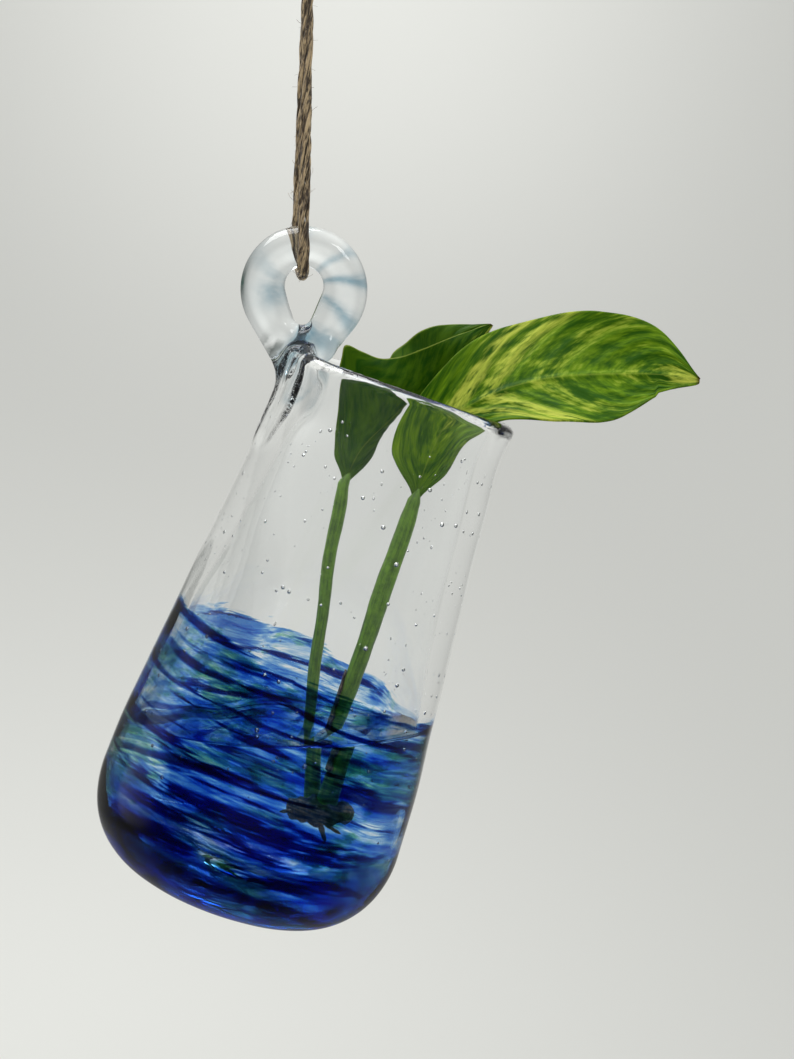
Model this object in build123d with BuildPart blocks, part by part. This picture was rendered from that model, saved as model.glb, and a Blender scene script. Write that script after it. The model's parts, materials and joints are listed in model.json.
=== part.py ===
from build123d import *
import os
from math import acos, atan2, cos, pi, radians, sin, sqrt, tan

# A blown-glass propagation vase that hangs tilted from jute twine by a glass loop on its rim.
# It holds water and one cutting. Millimetres, +Z up, +X towards the side that the mouth leans to,
# +Y away from the viewer. The origin is where a hook carries the twine's hang loop.
os.makedirs("parts", exist_ok=True)

# Hang
hang_tilt = 18.9  # degrees that the vase leans, mouth towards +X
eye_drop = 112.0  # from the hook down to the middle of the loop's eye

# Glass body, along its own axis
body_height = 129.0
mouth_radius = 26.1  # outside, where the plain taper would end at the rim
body_taper = 6.35  # degrees, each side
base_corner = 21.0
wall_at_mouth = 5.8
wall_at_base = 3.4
base_thickness = 4.4
lip_thickness = 4.9
lip_flare = 1.9  # how far the lip stands out past the taper
flare_height = 15.0

# Colour layer inside the lower half
lining_thickness = 1.2
lining_height = 60.0  # of its upper edge, on the axis
lining_slant = 5.2  # degrees, higher on the loop's side

# Loop on the rim
loop_radius = 14.85  # outside
loop_depth = 8.6  # front to back
loop_rounding = 4.0
loop_overhang = 3.6  # of the eye's middle past the mouth's radius
loop_rise = 13.2  # of the eye's middle over the rim
eye_radius = 4.5
eye_lift = 0.9  # of the round end of the eye over the loop's middle
eye_point = 7.2  # how far the pointed end reaches towards the rim
eye_point_radius = 0.8
foot_radius = 5.6  # where the loop's two ends close on the rim
tongue_length = 15.0  # of the foot's tail down the outer wall
tongue_width = 8.0
tongue_thickness = 3.0
tongue_slices = ((0.0, 1.0), (0.5, 0.8), (1.0, 0.5))  # share of its length, share of its full section

# Water
water_height = 46.0  # on the axis, over the base
water_gap = 0.1  # from the glass
stem_gap = 0.3  # from what stands in it

# Twine
twine_diameter = 2.8
twine_gap = 0.4  # from the loop and the knot
knot_radius = 4.3
knot_height = 9.0
knot_rounding = 3.4
hang_loop_drop = 28.0  # from the hook to the knot
hook_radius = 5.0
knot_seat = 1.5  # how far the hang loop's strands run into the knot
strand_spread = 1.7  # of the two strands from the middle, at the knot
tail_length = 7.5
tail_back = 0.5  # how far the knot's tails lean to the back, per millimetre across
tail_fall = 0.3  # and how far they fall

# Cutting
petiole_large_diameter = 4.4
petiole_small_diameter = 3.1
sheath_thickness = 0.6
sheath_rise = 9.0  # of its lower end, along the petiole
sheath_length = 24.0
sheath_turn = 130.0  # degrees of the petiole that the sheath wraps
node_diameter = 6.0
node_length = 13.0
node_swelling = 0.9
node_slices = ((0.0, -0.3), (0.25, 0.0), (0.5, 1.0), (0.75, 0.1), (1.0, -0.6))  # share of length, of swelling
petiole_seat = 1.5  # of the petioles' feet over the node's middle
root_diameter = 1.2
small_leaf_depth = 26.9  # of the small blade's start under the rim
large_leaf_depth = 24.3
petiole_bend_depth = 60.0  # of the petioles' middle points
blade_thickness = 0.8
margin_thickness = 0.35

# The vase's own frame: X across towards +X, Y to the back, Z along its axis from the base's middle
lean = radians(hang_tilt)
across = Vector(cos(lean), 0, -sin(lean))
along = Vector(sin(lean), 0, cos(lean))
eye = Vector(0, 0, -eye_drop)
eye_out = mouth_radius + loop_overhang
base_middle = eye + across * eye_out - along * (body_height + loop_rise)
vase = Plane(origin=base_middle, x_dir=across, z_dir=along)
vase_axis = Axis(base_middle, along)
half_section = Plane(origin=base_middle, x_dir=across, z_dir=-vase.y_dir)
loop_plane = Plane(origin=eye, x_dir=(1, 0, 0), z_dir=(0, -1, 0))

# Sizes that follow
taper = tan(radians(body_taper))
foot_of_taper = mouth_radius + body_height * taper
cavity_foot = foot_of_taper - wall_at_base
cavity_mouth = mouth_radius - wall_at_mouth
cavity_slope = (cavity_foot - cavity_mouth) / body_height
cavity_corner = base_corner - wall_at_base
flare_start = body_height - flare_height
lip_radius = lip_thickness / 2
lip_level = body_height - lip_radius
lip_middle = mouth_radius + lip_flare - lip_radius
twine_radius = twine_diameter / 2
strand_top = -hang_loop_drop - knot_height - twine_gap


def at(u, v, w):
    """A point given across, behind and along the vase, from the middle of its base."""
    return vase.from_local_coords(Vector(u, v, w))


def cavity_radius(w):
    return cavity_foot - cavity_slope * w


def cavity_half(grow, top):
    """Half of the cavity's section up to a height, grown by a distance."""
    with BuildSketch(half_section) as half:
        with BuildLine():
            floor = base_thickness - grow
            FilletPolyline(
                (0, floor),
                (cavity_radius(floor) + grow, floor),
                (cavity_radius(top) + grow, top),
                radius=cavity_corner + grow,
            )
            Polyline((cavity_radius(top) + grow, top), (0, top), (0, floor))
        make_face()
    return half.sketch


# Colour layer: a cup on the inside of the lower wall, with a slanted upper edge
lining_top = Plane(
    origin=at(0, 0, lining_height),
    x_dir=vase.x_dir.rotate(Axis(vase.origin, vase.y_dir), lining_slant),
    z_dir=vase.z_dir.rotate(Axis(vase.origin, vase.y_dir), lining_slant),
)
lining_reach = lining_height + foot_of_taper * sin(radians(lining_slant)) + lining_thickness

with BuildPart() as blue_lining:
    revolve(cavity_half(lining_thickness, lining_reach), axis=vase_axis)
    revolve(cavity_half(0, lining_reach), axis=vase_axis, mode=Mode.SUBTRACT)
    split(bisect_by=lining_top, keep=Keep.BOTTOM)

# Clear body: one blown wall with a rounded flared lip and a flattened base, cased over the colour
with BuildPart() as clear_body:
    with BuildSketch(half_section):
        with BuildLine():
            neck = (mouth_radius + flare_height * taper, flare_start)
            inner_neck = (cavity_radius(flare_start), flare_start)
            lip_out = (lip_middle + lip_radius, lip_level)
            lip_in = (lip_middle - lip_radius, lip_level)
            FilletPolyline((0, 0), (foot_of_taper, 0), neck, radius=base_corner)
            TangentArc(neck, lip_out, tangent=(-taper, 1))
            ThreePointArc(lip_out, (lip_middle, body_height), lip_in)
            TangentArc(inner_neck, lip_in, tangent=(-cavity_slope, 1))
            FilletPolyline(
                inner_neck,
                (cavity_radius(base_thickness), base_thickness),
                (0, base_thickness),
                radius=cavity_corner,
            )
            Line((0, base_thickness), (0, 0))
        make_face()
    revolve(axis=vase_axis)
    add(blue_lining.part, mode=Mode.SUBTRACT)

# Loop: a thick rounded ring drawn out of hot glass, its teardrop eye closing towards the rim,
# where the two ends run together into a foot that straddles the lip, with a tail down the wall
lip_at = loop_plane.to_local_coords(at(-lip_middle, 0, lip_level))
towards_lip = Vector(lip_at.X, lip_at.Y).normalized()
eye_top = Vector(0, eye_lift)
eye_end = towards_lip * eye_point

with BuildSketch() as teardrop:
    with Locations((eye_top.X, eye_top.Y)):
        Circle(eye_radius)
    with Locations((eye_end.X, eye_end.Y)):
        Circle(eye_point_radius)
    make_hull()

with BuildPart() as hanging_loop:
    with BuildSketch(loop_plane):
        Circle(loop_radius)
        with Locations((lip_at.X, lip_at.Y)):
            Circle(foot_radius)
        make_hull()
        add(teardrop.sketch, mode=Mode.SUBTRACT)
    extrude(amount=loop_depth / 2, both=True)
    fillet(hanging_loop.edges().filter_by(Plane.XZ), loop_rounding)
    tail_top = body_height - lip_thickness
    for share, size in tongue_slices:
        height = tail_top - share * tongue_length
        wall = mouth_radius + (body_height - height) * taper
        with BuildSketch(Plane(at(-wall, 0, height), x_dir=across, z_dir=along)):
            Ellipse(tongue_thickness * size, tongue_width / 2 * size)
    loft()
    add(clear_body.part, mode=Mode.SUBTRACT)


def tangent_loop(middle, radius, end, spread, side):
    """A line of twine from one strand's end, round a circle in a plane, back to the other's.

    The plane's X is across the strands, and side is +1 where the strands' ends lie above the circle.
    """
    rise = end - middle
    reach = sqrt(spread**2 + rise**2)
    turn = atan2(rise, spread) - acos(radius / reach) * side
    touch = (radius * cos(turn), middle + radius * sin(turn))
    far_side = middle - radius * side
    Line((-spread, end), (-touch[0], touch[1]))
    ThreePointArc((-touch[0], touch[1]), (0, far_side), touch)
    Line(touch, (spread, end))


# Twine: two legs from the knot to the loop, and the bight under the loop's upper bar
bight_radius = loop_depth / 2 + twine_radius + twine_gap
bight_middle = eye.Z + eye_lift + eye_radius + loop_depth / 2
side_plane = Plane(origin=(0, 0, 0), x_dir=(0, 1, 0), z_dir=(1, 0, 0))

with BuildPart() as twine_legs:
    with BuildLine(side_plane) as legs_line:
        tangent_loop(bight_middle, bight_radius, strand_top, strand_spread, 1)
    with BuildSketch(Plane(legs_line.line @ 0, z_dir=legs_line.line % 0)):
        Circle(twine_radius)
    sweep(path=legs_line.line)

# Hang loop: the same twine round the hook
front_plane = Plane(origin=(0, 0, 0), x_dir=(1, 0, 0), z_dir=(0, -1, 0))

with BuildPart() as twine_hang_loop:
    with BuildLine(front_plane) as hang_line:
        tangent_loop(
            -hook_radius, hook_radius + twine_radius, -hang_loop_drop - knot_seat, strand_spread, -1
        )
    with BuildSketch(Plane(hang_line.line @ 0, z_dir=hang_line.line % 0)):
        Circle(twine_radius)
    sweep(path=hang_line.line)

# Knot: both strands tied into a rounded lump, with two cut tails
with BuildPart() as twine_knot:
    with BuildSketch(Plane.XY.offset(-hang_loop_drop - knot_height)):
        Circle(knot_radius)
    extrude(amount=knot_height)
    fillet(twine_knot.edges().filter_by(GeomType.CIRCLE), knot_rounding)
    knot_middle = -hang_loop_drop - knot_height / 2
    for side in (-1, 1):
        tail_way = Vector(side, tail_back * side, -tail_fall * side).normalized()
        with BuildSketch(Plane(origin=(0, 0, knot_middle), z_dir=tail_way)):
            Circle(twine_radius)
        extrude(amount=tail_length)
    add(twine_hang_loop.part, mode=Mode.SUBTRACT)

# Cutting: a short stem node under water, rootlets, two petioles and two leaves
rim = body_height
node_at = (11.5, 0.0, 28.0)
small_base = (-4.4, 6.2, rim - small_leaf_depth)
small_middle = (1.4, 4.4, rim - petiole_bend_depth)
small_foot = (10.0, 1.6, node_at[2] + petiole_seat)
large_base = (11.6, -2.4, rim - large_leaf_depth)
large_middle = (12.1, -2.6, rim - petiole_bend_depth)
large_foot = (13.2, -0.8, node_at[2] + petiole_seat)


def node_sections(grow):
    """Round slices along the node, swollen at its middle, each grown by a distance."""
    length = node_length + 2 * grow
    start = Plane(origin=at(*node_at) - Vector(length / 2, 0, 0), x_dir=(0, 1, 0), z_dir=(1, 0, 0))
    for share, swell in node_slices:
        with BuildSketch(start.offset(share * length)) as node_slice:
            Circle(node_diameter / 2 + swell * node_swelling + grow)
        yield node_slice.sketch


with BuildPart() as stem_node:
    loft(list(node_sections(0)))


def petiole_line(foot, middle, base):
    with BuildLine() as line:
        ThreePointArc(at(*foot), at(*middle), at(*base))
    return line.line.edge()


def round_section(line, radius):
    with BuildSketch(Plane(line @ 0, z_dir=line % 0)) as section:
        Circle(radius)
    return section.sketch


small_line = petiole_line(small_foot, small_middle, small_base)
large_line = petiole_line(large_foot, large_middle, large_base)

with BuildPart() as petiole_small:
    sweep(round_section(small_line, petiole_small_diameter / 2), path=small_line)
    add(stem_node.part, mode=Mode.SUBTRACT)

with BuildPart() as petiole_large:
    sweep(round_section(large_line, petiole_large_diameter / 2), path=large_line)
    add(stem_node.part, mode=Mode.SUBTRACT)
    add(petiole_small.part, mode=Mode.SUBTRACT)

# Sheath: the dried strip that hugs one side of the large petiole above the node
sheath_start = sheath_rise / large_line.length
sheath_end = sheath_start + sheath_length / large_line.length
sheath_line = large_line.trim(sheath_start, sheath_end)

with BuildPart() as petiole_sheath:
    with BuildSketch(Plane(sheath_line @ 0, x_dir=-across, z_dir=sheath_line % 0)):
        Circle(petiole_large_diameter / 2 + sheath_thickness)
        Circle(petiole_large_diameter / 2, mode=Mode.SUBTRACT)
        with BuildLine():
            reach = petiole_large_diameter * 2
            half_turn = radians(sheath_turn / 2)
            corner = (reach * cos(half_turn), reach * sin(half_turn))
            Polyline((0, 0), (corner[0], -corner[1]), (reach, 0), corner, (0, 0))
        make_face(mode=Mode.INTERSECT)
    sweep(path=sheath_line)
    add(petiole_large.part, mode=Mode.SUBTRACT)
    add(petiole_small.part, mode=Mode.SUBTRACT)

# Rootlets: short curved stubs round the node, each given by its middle and its end from the node
root_ends = (
    ((-2.5, 2.5, -4.5), (-6.0, 3.5, -7.0)),
    ((0.5, -3.5, -3.5), (0.0, -6.0, -7.5)),
    ((2.5, 2.5, -4.0), (4.0, 4.5, -8.0)),
    ((-5.0, -2.0, -2.0), (-8.5, -3.0, -4.5)),
)

root_lines = [
    petiole_line(
        node_at,
        tuple(a + b for a, b in zip(node_at, bend)),
        tuple(a + b for a, b in zip(node_at, end)),
    )
    for bend, end in root_ends
]

with BuildPart() as rootlets:
    for root_line in root_lines:
        sweep(round_section(root_line, root_diameter / 2), path=root_line)
        with Locations(root_line @ 1):
            Sphere(root_diameter / 2)
    add(stem_node.part, mode=Mode.SUBTRACT)


def blade(stations, petiole):
    """Thin curved slices along a leaf, square to its midrib, from the end of its petiole.

    A station is a point of the midrib, then the left and the right margin, each given from that point
    as a distance to the leaf's left and a distance to the back. Each slice is a parabola through the three.
    """
    midrib = [at(*station[0]) for station in stations]
    last = len(stations) - 1
    for i, (_, to_left, to_right) in enumerate(stations):
        way = (midrib[min(i + 1, last)] - midrib[max(i - 1, 0)]).normalized() if i else petiole % 1
        back = vase.y_dir
        leftward = way.cross(back).normalized()
        plane = Plane(origin=midrib[i], x_dir=leftward, z_dir=way)
        backward = 1 if plane.y_dir.dot(back) > 0 else -1
        left = Vector(to_left[0], to_left[1] * backward)
        right = Vector(to_right[0], to_right[1] * backward)
        bow = (left + right) / 2
        chord = (right - left) / 2
        square = Vector(-chord.Y, chord.X)
        side = -1 if square.dot(bow) > 0 else 1
        out = [(chord + bow * 2 * t).normalized().rotate(Axis.Z, 90 * side) for t in (-1, 0, 1)]
        outer_left, outer_right = left + out[0] * margin_thickness, right + out[2] * margin_thickness
        middle = blade_thickness if i < last else margin_thickness
        with BuildSketch(plane) as slice_of_blade:
            with BuildLine():
                Bezier(left, bow * -1, right)
                Bezier(outer_left, out[1] * 2 * middle - (outer_left + outer_right) / 2, outer_right)
                Line(left, outer_left)
                Line(right, outer_right)
            make_face()
        yield slice_of_blade.sketch


# Large leaf: up through the mouth, over the lip and out to the side, its upper half leaning back
large_stations = (
    (large_base, (2.0, -0.6), (-2.0, -0.6)),
    ((11.0, -2.6, rim - 14.0), (9.1, -0.8), (-5.3, -2.1)),
    ((13.0, -2.8, rim - 3.5), (9.4, 0.15), (-5.7, -3.05)),
    ((lip_middle - 6.05, -2.0, rim + 4.65), (12.85, 4.6), (-5.1, -6.1)),
    ((lip_middle + 5.45, -0.4, rim + 13.0), (14.4, 7.4), (-10.1, -9.6)),
    ((lip_middle + 17.95, 0.6, rim + 18.6), (14.7, 6.6), (-9.65, -8.6)),
    ((lip_middle + 29.95, 0.5, rim + 22.9), (10.5, 3.4), (-4.6, -3.4)),
    ((lip_middle + 39.15, 0.0, rim + 24.9), (0.6, -0.15), (-0.6, -0.15)),
)

with BuildPart() as leaf_large:
    loft(list(blade(large_stations, large_line)))

# Small leaf: folded along its midrib behind the large one, both halves leaning to the loop's side
small_stations = (
    (small_base, (1.5, 0.4), (-1.5, 0.4)),
    ((-3.2, 6.6, rim - 15.5), (9.0, 1.5), (-1.5, 4.5)),
    ((0.2, 7.4, rim - 7.0), (19.6, -0.6), (5.0, 8.0)),
    ((4.4, 8.0, rim - 1.2), (11.7, -1.0), (11.5, 9.0)),
    ((8.4, 8.7, rim + 4.6), (9.0, -1.6), (12.2, 9.0)),
    ((12.0, 9.2, rim + 12.6), (5.5, -1.6), (9.8, 6.0)),
    ((14.9, 9.8, rim + 20.6), (0.5, -0.4), (0.5, 0.5)),
)

with BuildPart() as leaf_small:
    loft(list(blade(small_stations, small_line)))

# Water: level, in the lower part of the cavity, round whatever stands in it
water_level = at(0, 0, water_height).Z
water_reach = water_height + cavity_foot * tan(lean)

with BuildPart() as water_fill:
    revolve(cavity_half(-water_gap, water_reach), axis=vase_axis)
    split(bisect_by=Plane.XY.offset(water_level), keep=Keep.BOTTOM)
    for line, radius in (
        (small_line, petiole_small_diameter / 2),
        (large_line, petiole_large_diameter / 2 + sheath_thickness),
    ):
        sweep(round_section(line, radius + stem_gap), path=line, mode=Mode.SUBTRACT)
    for root_line in root_lines:
        hole = round_section(root_line, root_diameter / 2 + stem_gap)
        sweep(hole, path=root_line, mode=Mode.SUBTRACT)
        with Locations(root_line @ 1):
            Sphere(root_diameter / 2 + stem_gap, mode=Mode.SUBTRACT)
    loft(list(node_sections(stem_gap)), mode=Mode.SUBTRACT)

made = {
    "clear_body": clear_body,
    "blue_lining": blue_lining,
    "hanging_loop": hanging_loop,
    "water_fill": water_fill,
    "twine_legs": twine_legs,
    "twine_hang_loop": twine_hang_loop,
    "twine_knot": twine_knot,
    "stem_node": stem_node,
    "petiole_small": petiole_small,
    "petiole_large": petiole_large,
    "petiole_sheath": petiole_sheath,
    "rootlets": rootlets,
    "leaf_large": leaf_large,
    "leaf_small": leaf_small,
}
for name, piece in made.items():
    piece.part.label = name
    export_step(piece.part, f"parts/{name}.step")
    print(name, len(piece.part.solids()), round(piece.part.volume), piece.part.is_valid)

print("twine radii", round(bight_radius, 2), round(hook_radius + twine_radius, 2))
for name, route in (("twine_legs", legs_line.wire()), ("twine_hang_loop", hang_line.wire())):
    tube = pi * twine_radius**2 * route.length
    print(name, "length", round(route.length, 1), "volume over tube", round(made[name].part.volume / tube, 4))
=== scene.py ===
"""Hanging propagation vase: thick blown glass with a blue swirl, water, a leafy cutting and jute twine.

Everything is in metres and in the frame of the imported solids: +Z up, +X towards the side that the mouth
leans to, +Y away from the viewer, the origin where a hook carries the twine.
"""

import json
from math import cos, pi, radians, sin, sqrt, tan

import bpy
import numpy as np
from bpy.props import FloatProperty, FloatVectorProperty, IntProperty, PointerProperty
from mathutils import Matrix, Vector


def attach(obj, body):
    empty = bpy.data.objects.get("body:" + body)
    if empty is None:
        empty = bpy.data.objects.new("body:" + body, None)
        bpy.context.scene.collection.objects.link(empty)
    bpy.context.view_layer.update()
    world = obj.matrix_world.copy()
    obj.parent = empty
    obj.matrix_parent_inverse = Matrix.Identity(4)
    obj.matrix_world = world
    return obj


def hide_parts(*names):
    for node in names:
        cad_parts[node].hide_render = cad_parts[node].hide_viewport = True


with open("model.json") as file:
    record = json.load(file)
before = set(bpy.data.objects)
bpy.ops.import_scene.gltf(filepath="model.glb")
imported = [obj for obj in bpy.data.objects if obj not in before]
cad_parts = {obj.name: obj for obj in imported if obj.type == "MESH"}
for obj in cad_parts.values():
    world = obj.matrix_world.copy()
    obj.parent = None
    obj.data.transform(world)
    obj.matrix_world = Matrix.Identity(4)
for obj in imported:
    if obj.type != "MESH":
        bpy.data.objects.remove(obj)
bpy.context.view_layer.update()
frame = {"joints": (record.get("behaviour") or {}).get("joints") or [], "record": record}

bl_info = {
    "name": "Hanging propagation vase",
    "version": (1, 0, 0),
    "blender": (4, 5, 0),
    "location": "3D View > Sidebar > Vase",
    "description": "Blown glass, swirl, water, cutting and twine round the packed solids",
    "category": "Object",
}

MM = 0.001
MOUNTS = {mount["name"]: mount for mount in frame["record"]["mounts"]}
JOINTS = {joint["name"]: joint for joint in frame["joints"]}

# The vase's own axes, from the base's middle
BASE = np.array(MOUNTS["base"]["pos_m"])
ALONG = -np.array(MOUNTS["base"]["axis"])
ACROSS = np.array((ALONG[2], 0.0, -ALONG[0]))
BEHIND = np.array((0.0, 1.0, 0.0))
EYE_TOP = np.array(JOINTS["vase_swing"]["pos_m"])
RIM = 129.0  # millimetres over the base, where the cutting's points are counted from
GLASS_IOR = 1.5
WATER_IOR = 1.333
LIGHT_BOUNCES = 28


def at(u, v, w):
    """A place given across, behind and along the vase in millimetres, from the middle of its base."""
    return BASE + (u * ACROSS + v * BEHIND + w * ALONG) * MM


def in_vase(points):
    """Across, behind and along the vase, for points of the shared frame."""
    offset = points - BASE
    return offset @ ACROSS, offset[..., 1], offset @ ALONG


# Settings


def length(name, description, default):
    return FloatProperty(name=name, description=description, default=default, unit="LENGTH", precision=5)


def tilt(name, description, degrees):
    return FloatProperty(name=name, description=description, default=radians(degrees), subtype="ANGLE")


def amount(name, description, default):
    return FloatProperty(name=name, description=description, default=default)


def tally(name, description, default):
    return IntProperty(name=name, description=description, default=default)


def absorption(name, description, default):
    return FloatVectorProperty(name=name, description=description, default=default)


def colour(name, description, default):
    return FloatVectorProperty(
        name=name, description=description, default=default, size=4, subtype="COLOR", min=0.0, max=1.0
    )


class VaseGlass(bpy.types.PropertyGroup):
    body_height: length("Body height", "From the base to the rim, along the axis", 129 * MM)
    mouth_radius: length("Mouth radius", "Outside, where the plain taper ends", 26.1 * MM)
    taper: tilt("Taper", "Of each side", 6.35)
    base_corner: length("Base corner", "Radius between wall and base", 21 * MM)
    wall_at_mouth: length("Wall at the mouth", "Thickness under the lip", 5.8 * MM)
    wall_at_base: length("Wall at the base", "Thickness over the corner", 3.4 * MM)
    base_thickness: length("Base thickness", "Under the cavity's floor", 4.4 * MM)
    lip_thickness: length("Lip thickness", "Of the rounded rim", 4.9 * MM)
    lip_flare: length("Lip flare", "How far the lip stands out past the taper", 1.9 * MM)
    flare_height: length("Flare height", "Of the wall that bends out to the lip", 15 * MM)
    loop_radius: length("Loop radius", "Outside", 14.85 * MM)
    loop_depth: length("Loop depth", "Front to back", 8.6 * MM)
    loop_rounding: length("Loop rounding", "Of its section's corners", 4.1 * MM)
    eye_radius: length("Eye radius", "Of the eye's round end", 4.5 * MM)
    eye_point: length("Eye point", "From the loop's middle to the middle of the eye's narrow end", 5.7 * MM)
    eye_end_radius: length("Eye end radius", "Of the eye's narrow end", 2.3 * MM)
    foot_radius: length("Foot radius", "Where the loop's ends close on the rim", 5.6 * MM)
    tongue_length: length("Tongue length", "Of the tail down the outer wall", 15 * MM)
    ripple: length("Ripple", "Unevenness of the blown walls", 0.14 * MM)
    bubble_count: tally("Bubbles", "Seed bubbles in the wall", 420)
    bubble_seed: tally("Bubble seed", "Places the seed bubbles", 7)
    tint: colour("Tint", "Of the clear glass", (0.985, 0.993, 0.995, 1.0))
    fold_tint: colour("Fold tint", "Of the streaks in the loop", (0.20, 0.38, 0.49, 1.0))
    # Painted dark reflection of the room along the loop's left edge, laid into the glass's tint
    painted_dark_reflection_tint: colour("Edge tint", "Along the loop's left edge", (0.008, 0.028, 0.022, 1.0))


class VaseSwirl(bpy.types.PropertyGroup):
    depth: length("Depth", "Of the colour inside the inner wall", 0.4 * MM)
    thickness: length("Thickness", "Of the colour layer", 0.6 * MM)
    height: length("Height", "Of its upper edge, on the axis", 60 * MM)
    slant: tilt("Slant", "Higher on the loop's side", 5.2)
    wash: amount("Wash", "Colour between the trails", 0.42)
    trail: amount("Trail", "Colour in the middle of a trail", 3.0)
    blue: absorption("Blue", "How much red, green and blue it takes away", (2.2, 1.15, 0.28))
    ink: absorption("Ink", "The same, once more in the trails", (0.3, 0.3, 0.3))
    green: absorption("Green", "The same, where it turned green", (1.3, 0.55, 1.0))


class VaseWater(bpy.types.PropertyGroup):
    height: length("Height", "Of the level water on the vase's axis", 43.4 * MM)
    overlap: length("Overlap", "How far it reaches into the glass, to join its surface", 0.15 * MM)
    meniscus: length("Meniscus", "How far it climbs at the glass", 1.5 * MM)
    tint: colour("Tint", "Of the water", (0.95, 0.98, 0.99, 1.0))


class VaseTwine(bpy.types.PropertyGroup):
    diameter: length("Diameter", "Of the laid twine", 2.8 * MM)
    lay: length("Lay", "Length of one turn of the strands", 34 * MM)
    strands: tally("Strands", "Thin strands twisted together", 9)
    fibre_count: tally("Fibres", "Loose fibres on each piece", 260)
    fibre_seed: tally("Fibre seed", "Places the loose fibres", 3)
    straw: colour("Straw", "Light fibres", (0.50, 0.37, 0.21, 1.0))
    # Painted shade in the grooves between the fibres, together with their own darker tone
    dark_fibres_and_painted_shade: colour("Umber", "Shaded fibres", (0.045, 0.028, 0.015, 1.0))


class VaseCutting(bpy.types.PropertyGroup):
    leaf_thickness: length("Leaf thickness", "Of the blades", 0.5 * MM)
    translucency: amount("Translucency", "Share of light through a leaf", 0.3)
    large_petiole: length("Large petiole", "Diameter", 4.4 * MM)
    small_petiole: length("Small petiole", "Diameter", 3.1 * MM)
    deep_green: colour("Deep green", "The leaves' darkest patches", (0.028, 0.108, 0.002, 1.0))
    mid_green: colour("Mid green", "Most of the leaves", (0.170, 0.325, 0.005, 1.0))
    lime: colour("Lime", "Their pale streaks", (0.64, 0.70, 0.10, 1.0))
    # Painted shade: the small leaf is a darkened copy of the same green
    painted_shade_green: colour("Shade green", "The small leaf's plain parts", (0.009, 0.060, 0.001, 1.0))
    stalk: colour("Stalk", "The petioles", (0.075, 0.17, 0.012, 1.0))
    bark: colour("Bark", "The node, sheath and rootlets", (0.020, 0.013, 0.010, 1.0))


class VaseStage(bpy.types.PropertyGroup):
    view_distance: length("View distance", "From the camera to the middle of the picture", 496.5 * MM)
    focal_pixels: amount("Focal length", "In pixels of the picture", 2100.0)
    pitch: tilt("Pitch", "How far the view looks down", 5.9)
    roll: tilt("Roll", "Of the camera", 1.1)
    floor_drop: length("Floor drop", "From the hook to the floor", 0.42)
    paper: colour("Paper", "The floor and the backdrop", (0.575, 0.58, 0.552, 1.0))


PICTURE_SIZE = (794, 1059)
PICTURE_MIDDLE = (22.8, 0.0, -167.9)  # what the camera aims at, in millimetres
SENSOR = 36.0
SETTINGS = {
    "vase_glass": VaseGlass,
    "vase_swirl": VaseSwirl,
    "vase_water": VaseWater,
    "vase_twine": VaseTwine,
    "vase_cutting": VaseCutting,
    "vase_stage": VaseStage,
}


# Meshes


def mesh_object(name, points, faces, *materials):
    """A smooth mesh object at the origin."""
    mesh = bpy.data.meshes.new(name)
    mesh.from_pydata(np.asarray(points).tolist(), [], [list(map(int, face)) for face in faces])
    for material in materials:
        mesh.materials.append(material)
    mesh.shade_smooth()
    piece = bpy.data.objects.new(name, mesh)
    bpy.context.scene.collection.objects.link(piece)
    return piece


def paint(mesh, name, values):
    """A colour attribute with one value a point."""
    layer = mesh.color_attributes.new(name, "FLOAT_COLOR", "POINT")
    layer.data.foreach_set("color", np.asarray(values, np.float32).ravel())


def lay_uv(mesh, per_point):
    """A UV map from one place a point."""
    layer = mesh.uv_layers.new(name="UVMap")
    corner = np.zeros(len(mesh.loops), np.int32)
    mesh.loops.foreach_get("vertex_index", corner)
    layer.data.foreach_set("uv", np.asarray(per_point, np.float32)[corner].ravel())


def sheet_faces(rows, columns, closed=False):
    """Quads of a grid of points, whose rows may close on themselves."""
    across = columns if closed else columns - 1
    faces = []
    for row in range(rows - 1):
        for column in range(across):
            a = row * columns + column
            b = row * columns + (column + 1) % columns
            faces.append((a, b, b + columns, a + columns))
    return faces


def two_sides(faces, count):
    """The faces of a layer, turned over, and of a second one whose points come count later."""
    return [face[::-1] for face in faces] + [tuple(i + count for i in face) for face in faces]


def unit(vectors):
    return vectors / np.maximum(np.linalg.norm(vectors, axis=-1, keepdims=True), 1e-12)


def bell(x):
    return np.exp(-(x**2))


def clamped(x):
    return np.clip(x, 0, 1)


def run_along(path):
    """The length of a path up to each of its points."""
    return np.concatenate(([0.0], np.cumsum(np.linalg.norm(np.diff(path, axis=0), axis=1))))


def ring_round(angle):
    """Directions square to the vase's axis, at angles round it."""
    return np.cos(angle)[:, None] * ACROSS + np.sin(angle)[:, None] * BEHIND


def frames_along(path):
    """The way of a path at each point, and two directions square to it that don't twist."""
    way = unit(np.gradient(path, axis=0))
    side = np.zeros_like(way)
    helper = BEHIND if abs(way[0] @ BEHIND) < 0.9 else ACROSS
    side[0] = unit(np.cross(way[0], helper))
    for i in range(1, len(path)):
        side[i] = unit(side[i - 1] - way[i] * (side[i - 1] @ way[i]))
    return way, side, np.cross(way, side)


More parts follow.
